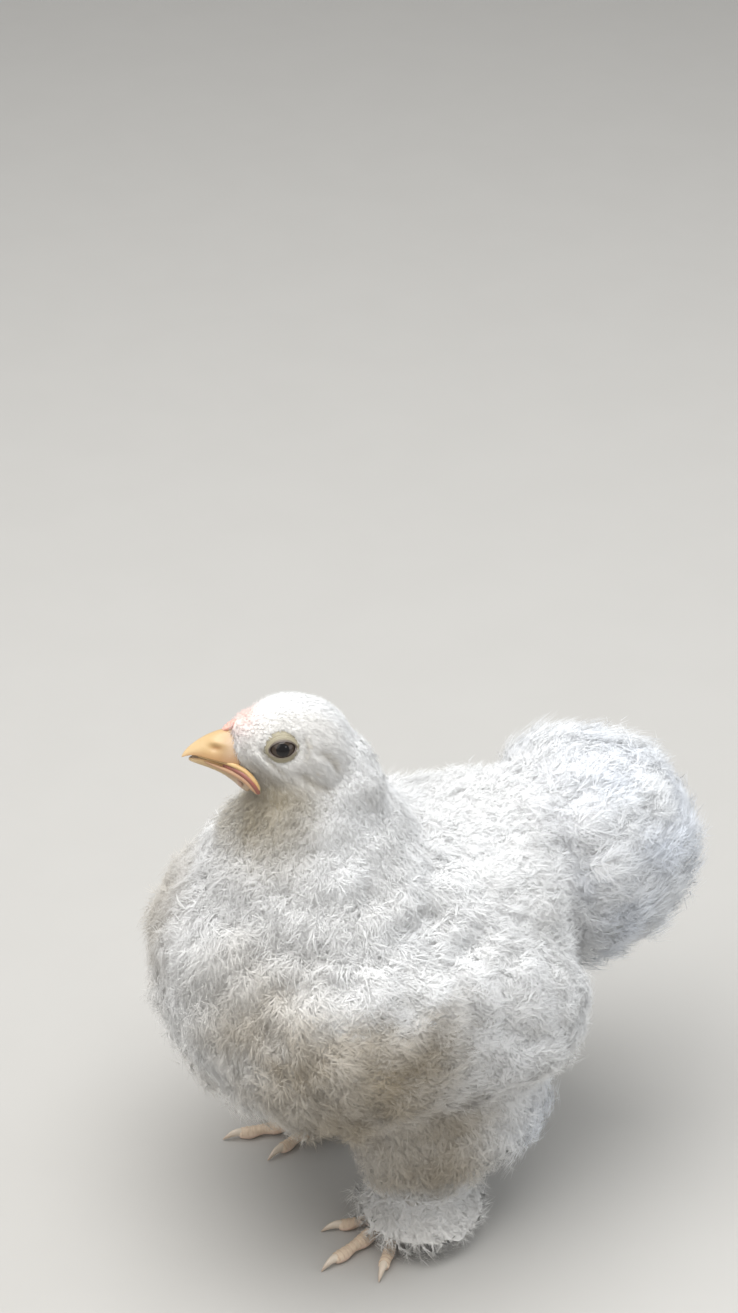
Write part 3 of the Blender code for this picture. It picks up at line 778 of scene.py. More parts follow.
def growVanes(name, roots, normals, spots, tones, settings, route=None):
    # broad soft feathers, one closed vane each, under the down
    bird, head = inBird(roots), inHead(roots)
    long = featherLength(bird, head) * draw.uniform(0.9, 1.1, len(roots)) * settings["length"]
    turn = draw.normal(0, settings["stray"], len(roots))
    if route:
        places, outs, alongs, long = route
        kept = np.ones(len(roots), bool)
    else:
        places, outs, alongs, strayed = bed.walk(roots, normals, long * mm, turn)
        # none that would stand proud of the down where the skin turns away
        lift = featherLift(bird, head) * settings["lift"] * mm
        raised = places[:, 2] + outs[:, 0] * lift[:, None]
        kept = ~strayed & (length(raised - bed.nearest(raised)[0]) < lift * vaneShape["proud"])
    ends = places[:, -1]
    roots, normals, spots, tones, long, bird, head, places, outs, alongs = (
        values[kept] for values in (roots, normals, spots, tones, long, bird, head, places, outs, alongs)
    )
    count = len(roots)
    lump, slope = lumpsAt(bird, normals, settings["lumpSize"])
    slant = -slope * settings["relief"]
    lift = featherLift(bird, head) * (1 + lump * settings["lump"]) * draw.uniform(0.85, 1.05, count)
    lift = lift * (0 if route else settings["lift"])
    half = long * settings["broad"]
    stations, ridge, keel = vaneShape["stations"], vaneShape["ridge"] * mm, vaneShape["keel"] * mm
    points, ways = [], []
    for share, width in zip(stations, vaneShape["widths"]):
        t = np.full(count, share)
        base, out, lay = along(places, t), along(outs, t), along(alongs, t)
        right = unit(np.cross(lay, out))
        middle = base + out * (lift * (1 - (1 - t) ** 2) * mm)[:, None]
        wide = (half * width)[:, None] * mm
        edge = wide * vaneShape["droop"]
        for across, up in ((-1, edge), (0, ridge), (1, edge), (0, keel)):
            points.append(middle + right * wide * across + out * up)
            ways.append(unit(out + slant * share + right * across * settings["round"] + lay * 0.2 * share))
    faces = vaneFaces(len(stations))
    # the underside holds the fourth point of a ring and shades the other way
    turned = np.where((faces % 4 == 3).any(1), -1.0, 1.0)[None, :, None, None]
    coatPiece(
        name,
        roots,
        np.stack(points, 1)[:, None],
        faces,
        np.array([(across, share) for share in stations for across in (0.1, 0.5, 0.9, 0.5)]),
        spots,
        {"along": np.tile(np.repeat(stations, 4), count) * 0.45, "tone": np.repeat(tones, 4 * len(stations))},
        np.stack(ways, 1)[:, faces] * turned,
    )
    return ends


skin = makeSkin()
print("skin:", len(skin.data.polygons), "faces")
pick(skin)
bpy.ops.object.mode_set(mode="EDIT")
bpy.ops.mesh.select_all(action="SELECT")
bpy.ops.uv.smart_project(angle_limit=math.radians(66), island_margin=0.002)
bpy.ops.object.mode_set(mode="OBJECT")
skin.data.uv_layers[0].name = "OFBake"
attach(skin, "root")
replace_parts(skin, "torso", "neck", "head", "thigh_left", "thigh_right", "wing_left", "wing_right", "tail")
bed = Bed(skin)
print("skin unwrapped")

# plumage

plumageLook = {
    "white": (0.94, 0.94, 0.935),
    "root": (0.88, 0.865, 0.83),
    "tints": {  # colour and most share
        # the tan tint: partly the down's own buff tinge, partly painted shade underneath, on the cheeks and
        # near the floor
        "buff_and_shade": ((0.33, 0.25, 0.14), 0.96),
        "cool": ((0.80, 0.86, 0.97), 0.8),
        # the dark beige tint: painted shade on the throat, the lower face and in the grooves of the face
        "painted_shade": ((0.38, 0.31, 0.19), 0.95),
        "blush": ((0.84, 0.52, 0.44), 0.9),
    },
}


def spotAt(points, centre, radii, most=1.0):
    return bell(length((points - centre) / radii)) * most


def markings(points):
    # shares of the tints at each point, the same for skin and coat; the tan and the dark beige tints are
    # painted shade in part or in whole
    bird, head = inBird(points), inHead(points)
    x, y, z = bird.T
    away = np.abs(x)
    headAway = length(head)
    cheek, ahead, below = np.abs(head[:, 0]), head[:, 1], -head[:, 2]
    patch = ease(noiseAt(bird, 13.0, (0, 70, 0)) * 0.5 + 0.5, 0.25, 0.75)
    level = z + (patch - 0.5) * 12
    side = (1 - ease(level, 92, 107)) * (1 - ease(y, -12, 16)) * ease(away, 24, 40)
    front = spotAt(np.stack([away, y, level], 1), (27, -44, 93), (19, 18, 22), 0.88)
    low = (1 - ease(z, 48, 80)) * (1 - ease(y, 6, 28)) * 0.92
    # partly the down's own buff tinge, partly painted shade: darker on the lower sides, lower breast and
    # belly, on the cheeks and next to the floor
    buff_and_shade = (
        np.maximum(np.maximum(side, front), low) * (0.74 + 0.26 * patch) * ease(z, 12, 30),
        spotAt(bird, (24, -56, 104), (10, 8, 7), 0.55),
        ease(cheek, 4, 8) * (1 - ease(headAway, 14, 24)) * 0.28,
        (1 - ease(z, 10, 22)) * 0.3,
        patch * 0.08,
        bell((ahead + 9.5) / 2.4) * bell((4 - below) / 5.5) * 0.3,
    )
    # painted shade: darker on the throat, across the lower face and in the grooves of the face folds
    throat = ease(below, 5, 15) * (1 - ease(below, 30, 44)) * (1 - ease(ahead, 2, 20))
    throat = throat * ease(ahead, -18, -8) * (0.6 + 0.4 * patch)
    lower = ease(below, 0, 12) * (1 - ease(below, 22, 40)) * (1 - ease(ahead, 8, 22)) * 0.26
    painted_shade = np.clip(np.maximum(throat, foldsAt(head, "groove") * 0.42) + lower, 0, 1)
    cool = ease(y, 40, 78) * (0.25 + 0.75 * patch) * (1 - ease(z, 96, 140) * 0.4)
    return {
        "buff_and_shade": np.max(buff_and_shade, axis=0),
        "painted_shade": painted_shade * ease(30 - headAway, -22, 8),
        "cool": np.maximum(cool, ease(y, 22, 36) * (1 - ease(z, 30, 62)) * 0.9),
        "blush": spotAt(head, (0, -12.2, 2.6), (6.2, 4.6, 5.4)),
    }


def plumageFinish(name, onCoat):
    finish = Finish(name, 0.75, Sheen_Weight=0.25, Sheen_Roughness=0.6, Specular_IOR_Level=0.2)
    colour = plumageLook["white"]
    for tint, (other, most) in plumageLook["tints"].items():
        colour = finish.mix(finish.attribute(tint) * most, colour, other)
    if onCoat:
        deep = (1 - finish.ease(finish.attribute("along"), 0.0, 0.75)) * 0.22
        deep = deep + finish.attribute("tone") * 0.05
        return finish.wire(Base_Color=finish.mix(deep, colour, plumageLook["root"]))
    deep = finish.ease(finish.noise(140, 3, 0.6), 0.35, 0.7) * 0.4 + 0.2
    colour = finish.mix(deep, colour, plumageLook["root"])
    return finish.wire(Base_Color=colour, Normal=finish.bump(finish.noise(900, 2, 0.5), 0.2, 0.0003))


coatFinish = plumageFinish("soft_feathers", True)
skin.data.materials.append(plumageFinish("downy_skin", False))
putMasks(skin.data, markings(pointsOf(skin)))

# vanes, then down, then fuzz; length and broad are shares of the feather's length
draw = np.random.default_rng(23)
vaneSettings = {
    "length": 0.7, "stray": 0.2, "lift": 0.16, "broad": 0.24,
    "lump": 0.4, "lumpSize": 8.0, "relief": 0.5, "round": 0.35,
}
downSettings = {
    "blades": 5, "rings": 2, "length": 0.38, "stray": 0.8, "swirl": 1.0, "lump": 0.75,
    "fan": 0.75, "broad": 0.026, "curl": 0.3, "start": 0.45, "gather": 0.12,
    "puff": 0.45, "roll": 0.12, "round": 0.12, "lumpSize": 8.0, "relief": 0.7, "least": 0.06,
}
fuzzSettings = dict(
    downSettings, blades=7, rings=1, length=0.285, stray=0.95, start=0.72, broad=0.024, gather=0.05, fan=0.9
)
# what differs on a part of the body, for down and fuzz alike; length is a share of the usual one
regionLooks = {
    "head": {
        "gather": 0.1, "lump": 0.1, "broad": 0.03, "stray": 0.3, "swirl": 0.3, "start": 0.1, "curl": 0.1,
        "puff": 0.1, "relief": 0.15, "round": 0.15, "least": 0.055, "length": 1.35,
    },
    "neck": {"length": 1.2},
    "breast": {"lump": 1.0, "relief": 1.1},
    "back": {"lump": 0.55, "relief": 0.5, "puff": 0.3, "length": 0.95},
    "belly": {"lump": 1.0, "relief": 1.0},
    "vent": {},
    "thighs": {"lump": 0.8},
    "wings": {"lump": 0.95, "relief": 0.9, "puff": 0.35, "length": 0.95},
    "tail": {"lump": 0.8, "relief": 0.7, "puff": 0.3, "length": 0.82},
}
backFrom, bellyTop = 25, 78

seeds, seedNormals, seedSpots = bed.scatter("vanes")
seedTones = draw.uniform(0, 1, len(seeds))
tips = growVanes("vanes", seeds, seedNormals, seedSpots, seedTones, vaneSettings)
clumps = (treeOf(seeds), seeds, tips, gapOf("vanes", inBird(seeds), inHead(seeds)) * 0.8, seedTones)


def growCoat(kind, settings):
    # one layer of the coat, a piece for each part of the body
    tufts, normals, spots = bed.scatter(kind)
    bird, head = inBird(tufts), inHead(tufts)
    share = regionsOf(bird, head)
    behind, low = bird[:, 1] > backFrom, bird[:, 2] < bellyTop
    region = np.where(behind, np.where(low, "vent", "back"), np.where(low, "belly", "breast")).astype("<U6")
    for name in ("neck", "thighs", "wings", "tail", "head"):
        region[getattr(share, name.rstrip("s")) > 0.5] = name
    for name, look in regionLooks.items():
        chosen = region == name
        use = dict(settings, **look)
        use["length"] = settings["length"] * look.get("length", 1)
        use["rings"] = settings["rings"] if name in ("head", "neck") else 1
        growDown(f"{kind}_{name}", tufts[chosen], normals[chosen], spots[chosen], clumps, use)


growCoat("down", downSettings)
growCoat("fuzz", fuzzSettings)

# modelled pieces: sheets of a grid, wrapped round and shaped


def around(columns):
    # angles once round, the last one on the first
    turn = np.linspace(0, 2 * math.pi, columns + 1)
    turn[-1] = 0
    return turn


def closeEnds(points):
    points[0], points[-1] = points[0].mean(0), points[-1].mean(0)
    return points


def sheetOf(name, points, frame, slot, finish, levels=1, masks=None):
    # rows of points in millimetres, whose first and last columns meet
    rows, columns = points.shape[:2]
    bpy.ops.object.select_all(action="DESELECT")
    bpy.ops.mesh.primitive_grid_add(x_subdivisions=columns - 1, y_subdivisions=rows - 1, size=0.01)
    piece = bpy.context.object
    piece.name = name
    putPoints(piece, carry(points.reshape(-1, 3) * mm, frame))
    putMasks(piece.data, masks or {})
    bpy.ops.object.mode_set(mode="EDIT")
    bpy.ops.mesh.select_all(action="SELECT")
    bpy.ops.mesh.remove_doubles(threshold=0.00001)
    bpy.ops.mesh.normals_make_consistent(inside=False)
    bpy.ops.object.mode_set(mode="OBJECT")
    if levels:
        modify(piece, "SUBSURF", levels=levels, render_levels=levels)
    pick(piece)
    bpy.ops.object.shade_smooth()
    piece.data.uv_layers[0].name = "OFBake"
    piece.data.materials.append(finish)
    if slot:
        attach(piece, "root")
    return piece


def tubeOf(
    name, line, radii, frame, slot, finish, rows=24, columns=16, levels=1,
    up=(0, 0, 1), shape=None, masks=None,
):
    # a closed tube along a line, each station with a half width and a half height
    line, radii = spline(line, rows), spline(radii, rows)
    side = unit(np.cross(unit(np.gradient(line, axis=0)), up))
    above = np.cross(side, unit(np.gradient(line, axis=0)))
    turn = around(columns)
    rings = line[:, None] + side[:, None] * (radii[:, :1] * np.cos(turn))[..., None]
    rings = rings + above[:, None] * (radii[:, 1:2] * np.sin(turn))[..., None]
    if shape:
        rings = shape(rings, line, turn)
    return sheetOf(name, closeEnds(rings), frame, slot, finish, levels, masks)


# the bill
billShape = {
    "upper": (  # y, ridge, edge, half width
        (-8.5, 1.6, -9.6, 6.1), (-11.5, 0.8, -9.9, 5.9), (-14.5, -1.1, -10.3, 5.2),
        (-17.3, -2.8, -10.6, 4.4), (-20.2, -5.2, -10.9, 3.3), (-22.4, -7.7, -11.5, 2.3),
        (-23.8, -9.8, -12.4, 1.4), (-24.6, -11.6, -13.1, 0.8), (-24.9, -12.8, -13.4, 0.3),
    ),
    "lower": (  # y, edge, keel, half width
        (-3.5, -12.6, -17.6, 6.0), (-6.5, -11.9, -16.8, 5.6), (-9.5, -11.1, -15.5, 5.1),
        (-13, -10.8, -14.4, 4.3), (-16.5, -11.0, -14.0, 3.5), (-19.5, -11.5, -13.9, 2.5),
        (-21.8, -12.3, -13.8, 1.4), (-22.9, -12.9, -13.6, 0.4),
    ),
    "columns": 48,
    "nostril": (3.9, -17.0, -6.8),
    "palate": 1.3,
}
mouthLines = {  # the line on the left side, and its half widths and heights
    "gape": (
        ((2.1, -21.2, -11.3), (3.4, -17.3, -10.6), (5.0, -12.4, -9.9), (7.2, -7.8, -10.0), (8.9, -4.3, -11.6),
         (9.2, -2.0, -13.8)),
        ((0.2, 0.25), (0.45, 0.45), (0.75, 0.65), (0.85, 0.7), (0.75, 0.65), (0.4, 0.4)),
    ),
    "lip": (
        ((2.6, -19, -12.0), (4.2, -14.5, -12.0), (5.8, -10, -12.1), (7.6, -6.6, -12.6), (8.7, -4.0, -13.7),
         (8.9, -2.2, -14.9)),
        ((0.25, 0.3), (0.5, 0.5), (0.75, 0.75), (0.9, 0.85), (0.8, 0.8), (0.4, 0.4)),
    ),
    "corner": (
        ((3.4, -14, -11.2), (5.7, -10, -10.9), (7.8, -6.6, -11.3), (9.0, -3.9, -12.8), (9.2, -1.9, -14.8)),
        ((0.5, 0.5), (0.9, 0.8), (1.0, 0.9), (0.85, 0.9), (0.4, 0.5)),
    ),
}
# the edge colour is partly the bill's darker rim and partly painted shade in the seam of the mouth and in the
# nostrils
billLook = {
    "horn": (0.54, 0.36, 0.16), "ridge": (0.56, 0.39, 0.20), "edge": (0.36, 0.16, 0.05),
    "tip": (0.66, 0.48, 0.27), "base": (0.43, 0.28, 0.14), "cere": (0.50, 0.35, 0.22),
}
fleshLook = {  # two colours that mingle, and roughness
    "gape_skin": ((0.58, 0.39, 0.17), (0.54, 0.33, 0.13), 0.45),
    # the lip's own colour darkened by painted shade under the upper bill
    "lip_skin": ((0.44, 0.27, 0.15), (0.42, 0.23, 0.13), 0.5),
    # dark red flesh, darkened by painted shade in the corner of the mouth
    "shaded_mouth_corner": ((0.24, 0.09, 0.06), (0.30, 0.09, 0.07), 0.35),
    "comb_flesh": ((0.80, 0.46, 0.38), (0.77, 0.38, 0.31), 0.6),
    "wattle_flesh": ((0.52, 0.36, 0.27), (0.48, 0.30, 0.22), 0.55),
    "ear_lobe_skin": ((0.72, 0.67, 0.59), (0.64, 0.57, 0.49), 0.6),
}


def billFinish():
    finish = Finish("bill_horn", 0.34, Coat_Weight=0.25, Coat_Roughness=0.25)
    edge, front, top = (finish.attribute(key) for key in ("edge", "front", "top"))
    streaks = finish.noise(900, 3, 0.6)
    colour = finish.mix(top, billLook["horn"], billLook["ridge"])
    colour = finish.mix(finish.ease(front, 0.62, 1.0) * 0.8, colour, billLook["tip"])
    colour = finish.mix((1 - finish.ease(front, 0.28, 0.62)) * 0.9, colour, billLook["base"])
    colour = finish.mix(1 - finish.ease(front, 0.24, 0.42), colour, billLook["cere"])
    # painted shade along the seam of the mouth and in the nostrils, with the horn's own dark streaks
    dark = (edge * 0.85 + finish.ease(streaks, 0.55, 0.8) * 0.12).least(1.0)
    colour = finish.mix(dark, colour, billLook["edge"])
    return finish.wire(Base_Color=colour, Normal=finish.bump(streaks, 0.25, 0.00015))


def fleshFinish(name):
    colour, other, roughness = fleshLook[name]
    finish = Finish(name, roughness, Sheen_Weight=0.1)
    grain, fine = finish.noise(500, 3, 0.6), finish.noise(2600, 2, 0.5)
    tint = finish.mix(finish.ease(grain, 0.35, 0.7), colour, other)
    return finish.wire(Base_Color=tint, Normal=finish.bump(grain + fine * 0.4, 0.35, 0.0002))


def upperBill():
    # rows of points and the masks of the ridge and of the dark edge, nostrils included; the dark edge is
    # partly the bill's darker rim and partly painted shade in the seam of the mouth, and in the nostril slits
    # it is painted shade
    y, ridge, edge, half = spline(billShape["upper"], 40).T[:, :, None]
    turn = around(billShape["columns"])
    up = np.sin(turn)
    x = half * np.cos(turn) * (1 - 0.16 * np.maximum(up, 0) ** 2)
    roof = -up * billShape["palate"] * half / 5
    z = edge + np.where(up > 0, (ridge - edge) * np.maximum(up, 0) ** 0.86, roof)
    points = np.stack([x, y + 0 * x, z], 2)
    away = points - np.array(billShape["nostril"]) * np.where(points[..., :1] < 0, (-1, 1, 1), (1, 1, 1))
    ahead, above = away[..., 1], away[..., 2]
    slit = bell(ahead / 1.5) * bell((above - 0.25 * ahead) / 0.5)
    hood = bell((ahead - 0.3) / 2.4) * bell((above - 1.1) / 1.1)
    dip = bell(ahead / 2.2) * bell(above + 0.9)
    points[..., 0] += np.sign(points[..., 0]) * (up > -0.05) * (0.6 * hood - 1.0 * slit - 0.35 * dip)
    # painted shade in the nostril slits
    dark = slit * (np.abs(points[..., 0]) > 0.5) * (up > -0.05) * 1.1
    return points, np.maximum(up, 0) ** 3, bell(up / 0.2) * 0.75 + dark


def lowerBill():
    y, edge, keel, half = spline(billShape["lower"], 30).T[:, :, None]
    turn = around(billShape["columns"])
    up = np.sin(turn)
    x = half * np.cos(turn) * (1 - 0.1 * np.minimum(up, 0) ** 2)
    z = edge + np.where(up < 0, (edge - keel) * up, -up * 0.5 * half / 5)
    # the edge mask is partly the bill's darker rim, partly painted shade in the seam of the mouth
    return np.stack([x, y + 0 * x, z], 2), 0 * up, bell(up / 0.2) * 0.75


def makeBill():
    horn = billFinish()
    for key, (points, top, edge) in (("upper", upperBill()), ("lower", lowerBill())):
        shape = points.shape[:2]
        y = points[:, :1, 1]
        masks = {
            "front": np.broadcast_to((y - y[0]) / (y[-1] - y[0]), shape),
            "top": np.broadcast_to(top, shape),
            "edge": np.clip(np.broadcast_to(edge, shape), 0, 1),
        }
        piece = sheetOf(key + "_bill_horn", closeEnds(points), headFrame, "horn", horn, 1, masks)
        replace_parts(piece, key + "_bill")
    finishes = {
        "gape": (fleshFinish("gape_skin"), "horn"),
        "lip": (fleshFinish("lip_skin"), "horn"),
        "corner": (fleshFinish("shaded_mouth_corner"), "comb_skin"),
    }
    for side, sign in sides:
        for key, (finish, slot) in finishes.items():
            line, radii = mouthLines[key]
            tubeOf(f"{key}_{side}", np.array(line) * (sign, 1, 1), radii, headFrame, slot, finish, 26, 14)


# eyes and lids
eyeShape = {
    "centre": (6.7, 0, 0), "radius": 5.2, "cornea": 0.3, "columns": 48,
    "rings": (0, 4, 8, 12, 16, 19, 21, 25, 30, 34, 37, 40, 46, 56, 70, 90, 115, 145, 165, 180),
}
lidShape = {
    "thick": 0.35, "tilt": 26, "opening": (3.5, 2.4), "outer": (5.6, 4.5), "rows": 22, "columns": 64,
    "brow": 0.10, "corner": 0.35, "fold": 0.11,
    "profile": (  # share of the opening, way out of the head, dark edge
        (0.86, 10.5, 1.0), (0.93, 10.8, 1.0), (0.985, 11.1, 1.0), (1.03, 11.3, 0.9), (1.12, 11.4, 0.4),
        (1.24, 11.3, 0.15), (1.36, 11.0, 0.0), (1.5, 10.85, 0.0), (1.7, 10.3, 0.0), (1.95, 9.5, 0.0),
        (2.1, 8.8, 0.0),
    ),
}
eyeLook = {
    "pupil": (0.006, 0.005, 0.005), "iris": (0.03, 0.02, 0.014), "fibre": (0.07, 0.048, 0.033),
    "rim": (0.02, 0.015, 0.012), "white": (0.06, 0.045, 0.035),
    # the fold colour is painted shade in the troughs of the lid's wrinkles
    "lid": (0.33, 0.295, 0.205), "fold": (0.19, 0.16, 0.10), "edge": (0.16, 0.13, 0.11),
}


def eyeFinish():
    finish = Finish("eye_clear", 0.3, Specular_IOR_Level=0.1, Coat_Weight=0.75, Coat_Roughness=0.04)
    ring = finish.attribute("ring")  # degrees from the middle of the pupil
    fibres = finish.ease(finish.noise(2200, 3, 0.6), 0.3, 0.7) * 0.6
    iris = finish.mix(fibres, eyeLook["iris"], eyeLook["fibre"])
    colour = finish.mix(finish.ease(ring, 19, 21), eyeLook["pupil"], iris)
    colour = finish.mix(finish.ease(ring, 34, 39), colour, eyeLook["rim"])
    return finish.wire(Base_Color=finish.mix(finish.ease(ring, 44, 52), colour, eyeLook["white"]))


def lidFinish():
    finish = Finish("lid_skin", 0.55)
    edge, crease_shade = finish.attribute("edge"), finish.attribute("crease_shade")
    beads = finish.pattern("Voronoi", 2600.0)
    # painted shade in the troughs of the lid's wrinkles
    tint = finish.mix(edge, finish.mix(crease_shade * 0.6, eyeLook["lid"], eyeLook["fold"]), eyeLook["edge"])
    return finish.wire(Base_Color=tint, Normal=finish.bump(beads, 0.3, 0.0002))


def makeEyeball(side, sign, finish):
    turn = around(eyeShape["columns"])
    angle = np.radians(eyeShape["rings"])[:, None]
    bulge = eyeShape["radius"] + eyeShape["cornea"] * np.exp(-((np.degrees(angle) / 30) ** 4))
    out, across = np.cos(angle) * bulge + 0 * turn, np.sin(angle) * bulge
    points = np.stack([out * sign, across * np.cos(turn), across * np.sin(turn)], 2)
    points = points + np.array(eyeShape["centre"]) * (sign, 1, 1)
    masks = {"ring": np.broadcast_to(np.degrees(angle), out.shape)}
    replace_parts(sheetOf("eyeball_" + side, points, headFrame, "eye", finish, 1, masks), "eye_" + side)


def makeLids(side, sign, finish):
    turn = around(lidShape["columns"])
    profile = spline(lidShape["profile"], lidShape["rows"])
    share, outer, edge = profile.T[:, :, None]
    grow = (share - 1) / (share[-1] - 1)
    reachLong, reachHigh = (
        inner * np.minimum(share, 1) + (rim - inner) * np.maximum(grow, 0)
        for inner, rim in zip(lidShape["opening"], lidShape["outer"])
    )
    long = reachLong * np.cos(turn)
    high = reachHigh * np.sin(turn) * (1 + lidShape["brow"] * np.sin(turn) * (grow > 0))
    # both corners of the lids are drawn out a little
    corner = np.sign(np.cos(turn)) * np.abs(np.cos(turn)) ** 6 * lidShape["corner"]
    long = long + corner * (1 - np.clip(grow, 0, 1))
    folds = np.sin(share * 46 + 1.2 * np.cos(2 * turn)) * (share > 1.12) * (share < 1.8)
    ball = (eyeShape["radius"] + lidShape["thick"]) ** 2 - long**2 - high**2
    ball = eyeShape["centre"][0] + np.sqrt(np.maximum(ball, 0))
    out = np.where(share > 0.95, np.maximum(outer - 0.010 * long**2, ball), outer) + folds * lidShape["fold"]
    tilt = math.radians(lidShape["tilt"])
    cos, sin = math.cos(tilt), math.sin(tilt)
    points = np.stack([out * sign, long * cos - high * sin, long * sin + high * cos], 2)
    # the troughs of the folds get painted shade
    masks = {"edge": np.broadcast_to(edge, long.shape), "crease_shade": np.clip(-folds, 0, 1)}
    sheetOf("lids_" + side, points, headFrame, "ear_skin", finish, 1, masks)


def makeEyes():
    clear, lids = eyeFinish(), lidFinish()
    for side, sign in sides:
        makeEyeball(side, sign, clear)
        makeLids(side, sign, lids)


combShape = {
    "points": (  # y, z and rise
        (-16.6, -2.5, 0.3), (-15.9, -1.6, 0.6), (-15.1, -0.6, 0.8), (-14.4, 0.6, 0.8), (-13.8, 1.9, 0.4),
    ),
    "half": 2.1, "deep": 1.4, "rows": 41, "columns": 16,
}
wattleShape = {
    "line": (
        (4.3, -8.4, -13.2), (4.6, -8.0, -13.9), (4.7, -7.5, -14.5), (4.7, -7.0, -15.0), (4.6, -6.6, -15.3),
    ),
    "radii": ((0.3, 0.35), (0.4, 0.5), (0.45, 0.6), (0.35, 0.45), (0.15, 0.2)),
}
earShape = {
    "place": (10.1, 12.4, -3.4), "half": (2.0, 1.5), "slope": 0.3, "rows": 22, "columns": 40,
    "profile": ((0.0, 0.5), (0.4, 0.46), (0.75, 0.3), (1.0, 0.0), (1.12, -0.5), (0.9, -1.1), (0.0, -1.3)),
}


def makeComb():
    # a low row of points in front of the forehead
    rows, tops = combShape["rows"], np.array(combShape["points"])
    base = spline(tops[:, :2], rows)
    out = unit(np.stack([-np.gradient(base[:, 1]), np.gradient(base[:, 0])], 1))
    out = out * np.sign(-out[:, :1])
    share = np.linspace(0, 1, rows)
    rise = np.interp(share, np.linspace(0, 1, len(tops)), tops[:, 2])
    rise = rise * (0.65 + 0.35 * np.abs(np.cos(share * math.pi * 4)))
    rise = rise * np.sin(np.clip(share * 1.05 + 0.08, 0, 1) * math.pi) ** 0.35
    turn = around(combShape["columns"])
    half = combShape["half"] * np.sin(np.clip(share * 0.96 + 0.02, 0, 1) * math.pi) ** 0.5
    up = np.sin(turn)
    x = half[:, None] * np.cos(turn) * np.where(up > 0, 1 - 0.45 * up, 1)
    height = np.where(up > 0, rise[:, None], combShape["deep"]) * up
    points = np.stack([x, base[:, :1] + out[:, :1] * height, base[:, 1:] + out[:, 1:] * height], 2)
    piece = sheetOf("comb_points", closeEnds(points), headFrame, "comb_skin", fleshFinish("comb_flesh"))
    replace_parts(piece, "comb")


def makeWattles():
    finish = fleshFinish("wattle_flesh")
    for side, sign in sides:
        line = np.array(wattleShape["line"]) * (sign, 1, 1)
        name = "wattle_bud_" + side
        piece = tubeOf(name, line, wattleShape["radii"], headFrame, "comb_skin", finish, up=(0, 1, 0))
        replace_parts(piece, "wattle_" + side)


def makeEars():
    # a pale oval lobe, low in the down
    finish = fleshFinish("ear_lobe_skin")
    turn = around(earShape["columns"])
    share, outer = spline(earShape["profile"], earShape["rows"]).T[:, :, None]
    long, high = earShape["half"][0] * share * np.cos(turn), earShape["half"][1] * share * np.sin(turn)
    out = outer - 0.02 * long**2 + 0.05 * np.sin(long * 4 + high * 3)
    x, y, z = earShape["place"]
    for side, sign in sides:
        points = closeEnds(np.stack([sign * (x + out - earShape["slope"] * long), y + long, z + high], 2))
        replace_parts(sheetOf("ear_lobe_" + side, points, headFrame, "ear_skin", finish), "ear_" + side)


makeBill()
makeEyes()
makeComb()
makeWattles()
makeEars()
print("bill, eyes, lids, comb, wattles and ears modelled")


# shanks, feet and claws
legShape = {
    "foot": (25, 2, 0),
    "toes": {  # way from straight ahead, length, and radius at base and tip
        "inner": (-16, 19, 2.3, 1.6), "middle": (15, 27, 2.6, 1.7),
        "outer": (47, 22, 2.3, 1.6), "hind": (188, 14, 2.2, 1.5),
    },
    "toeHeights": (4.4, 3.5, 2.7, 2.1, 1.8), "scute": 1.7, "raise": 0.24, "seam": 0.13,
    "pad": {"high": 0.25, "long": 7.5},
    "claw": (  # way past the toe, height, half width and half height
        (-1.6, 1.9, 1.25, 1.35), (0.6, 2.35, 1.2, 1.4), (2.4, 2.3, 0.95, 1.15), (4.3, 1.5, 0.6, 0.75),
        (6.2, 0.35, 0.1, 0.12),
    ),
    "shank": ((25, 6.5, 26), (25, 5.0, 18), (25, 3.2, 11), (25, 2.2, 5.5), (25, 1.8, 2.6)),
    "shankRadii": ((3.2, 3.5), (2.9, 3.3), (3.0, 3.5), (4.0, 4.4), (4.6, 4.4)),
}
legLook = {
    "plate": (0.76, 0.61, 0.46), "seam": (0.50, 0.35, 0.24), "pad": (0.74, 0.56, 0.44),
    "claw": (0.76, 0.66, 0.54), "clawTip": (0.42, 0.32, 0.24), "clawLine": (0.55, 0.42, 0.30),
}


def outward(angle, sign):
    # a level direction, counted outwards from straight ahead
    return np.array((math.sin(math.radians(angle)) * sign, -math.cos(math.radians(angle)), 0))


def scaleFinish():
    finish = Finish("leg_scales", 0.5, Coat_Weight=0.1)
    seam, top = finish.attribute("seam"), finish.attribute("top")
    grain, beads = finish.noise(700, 3, 0.6), finish.pattern("Voronoi", 900.0)
    tint = finish.mix(top, legLook["pad"], legLook["plate"])
    tint = finish.mix((seam * 0.8 + finish.ease(grain, 0.5, 0.8) * 0.25).least(1.0), tint, legLook["seam"])
    return finish.wire(Base_Color=tint, Normal=finish.bump(beads * (1 - top) + grain * 0.3, 0.5, 0.0003))


def clawFinish():
    finish = Finish("claw_horn", 0.38, Coat_Weight=0.15)
    lines = finish.noise(800, 4, 0.6)
    tint = finish.mix(finish.attribute("front"), legLook["claw"], legLook["clawTip"])
    tint = finish.mix(finish.ease(lines, 0.45, 0.75) * 0.3, tint, legLook["clawLine"])
    return finish.wire(Base_Color=tint, Normal=finish.bump(lines, 0.3, 0.0002))


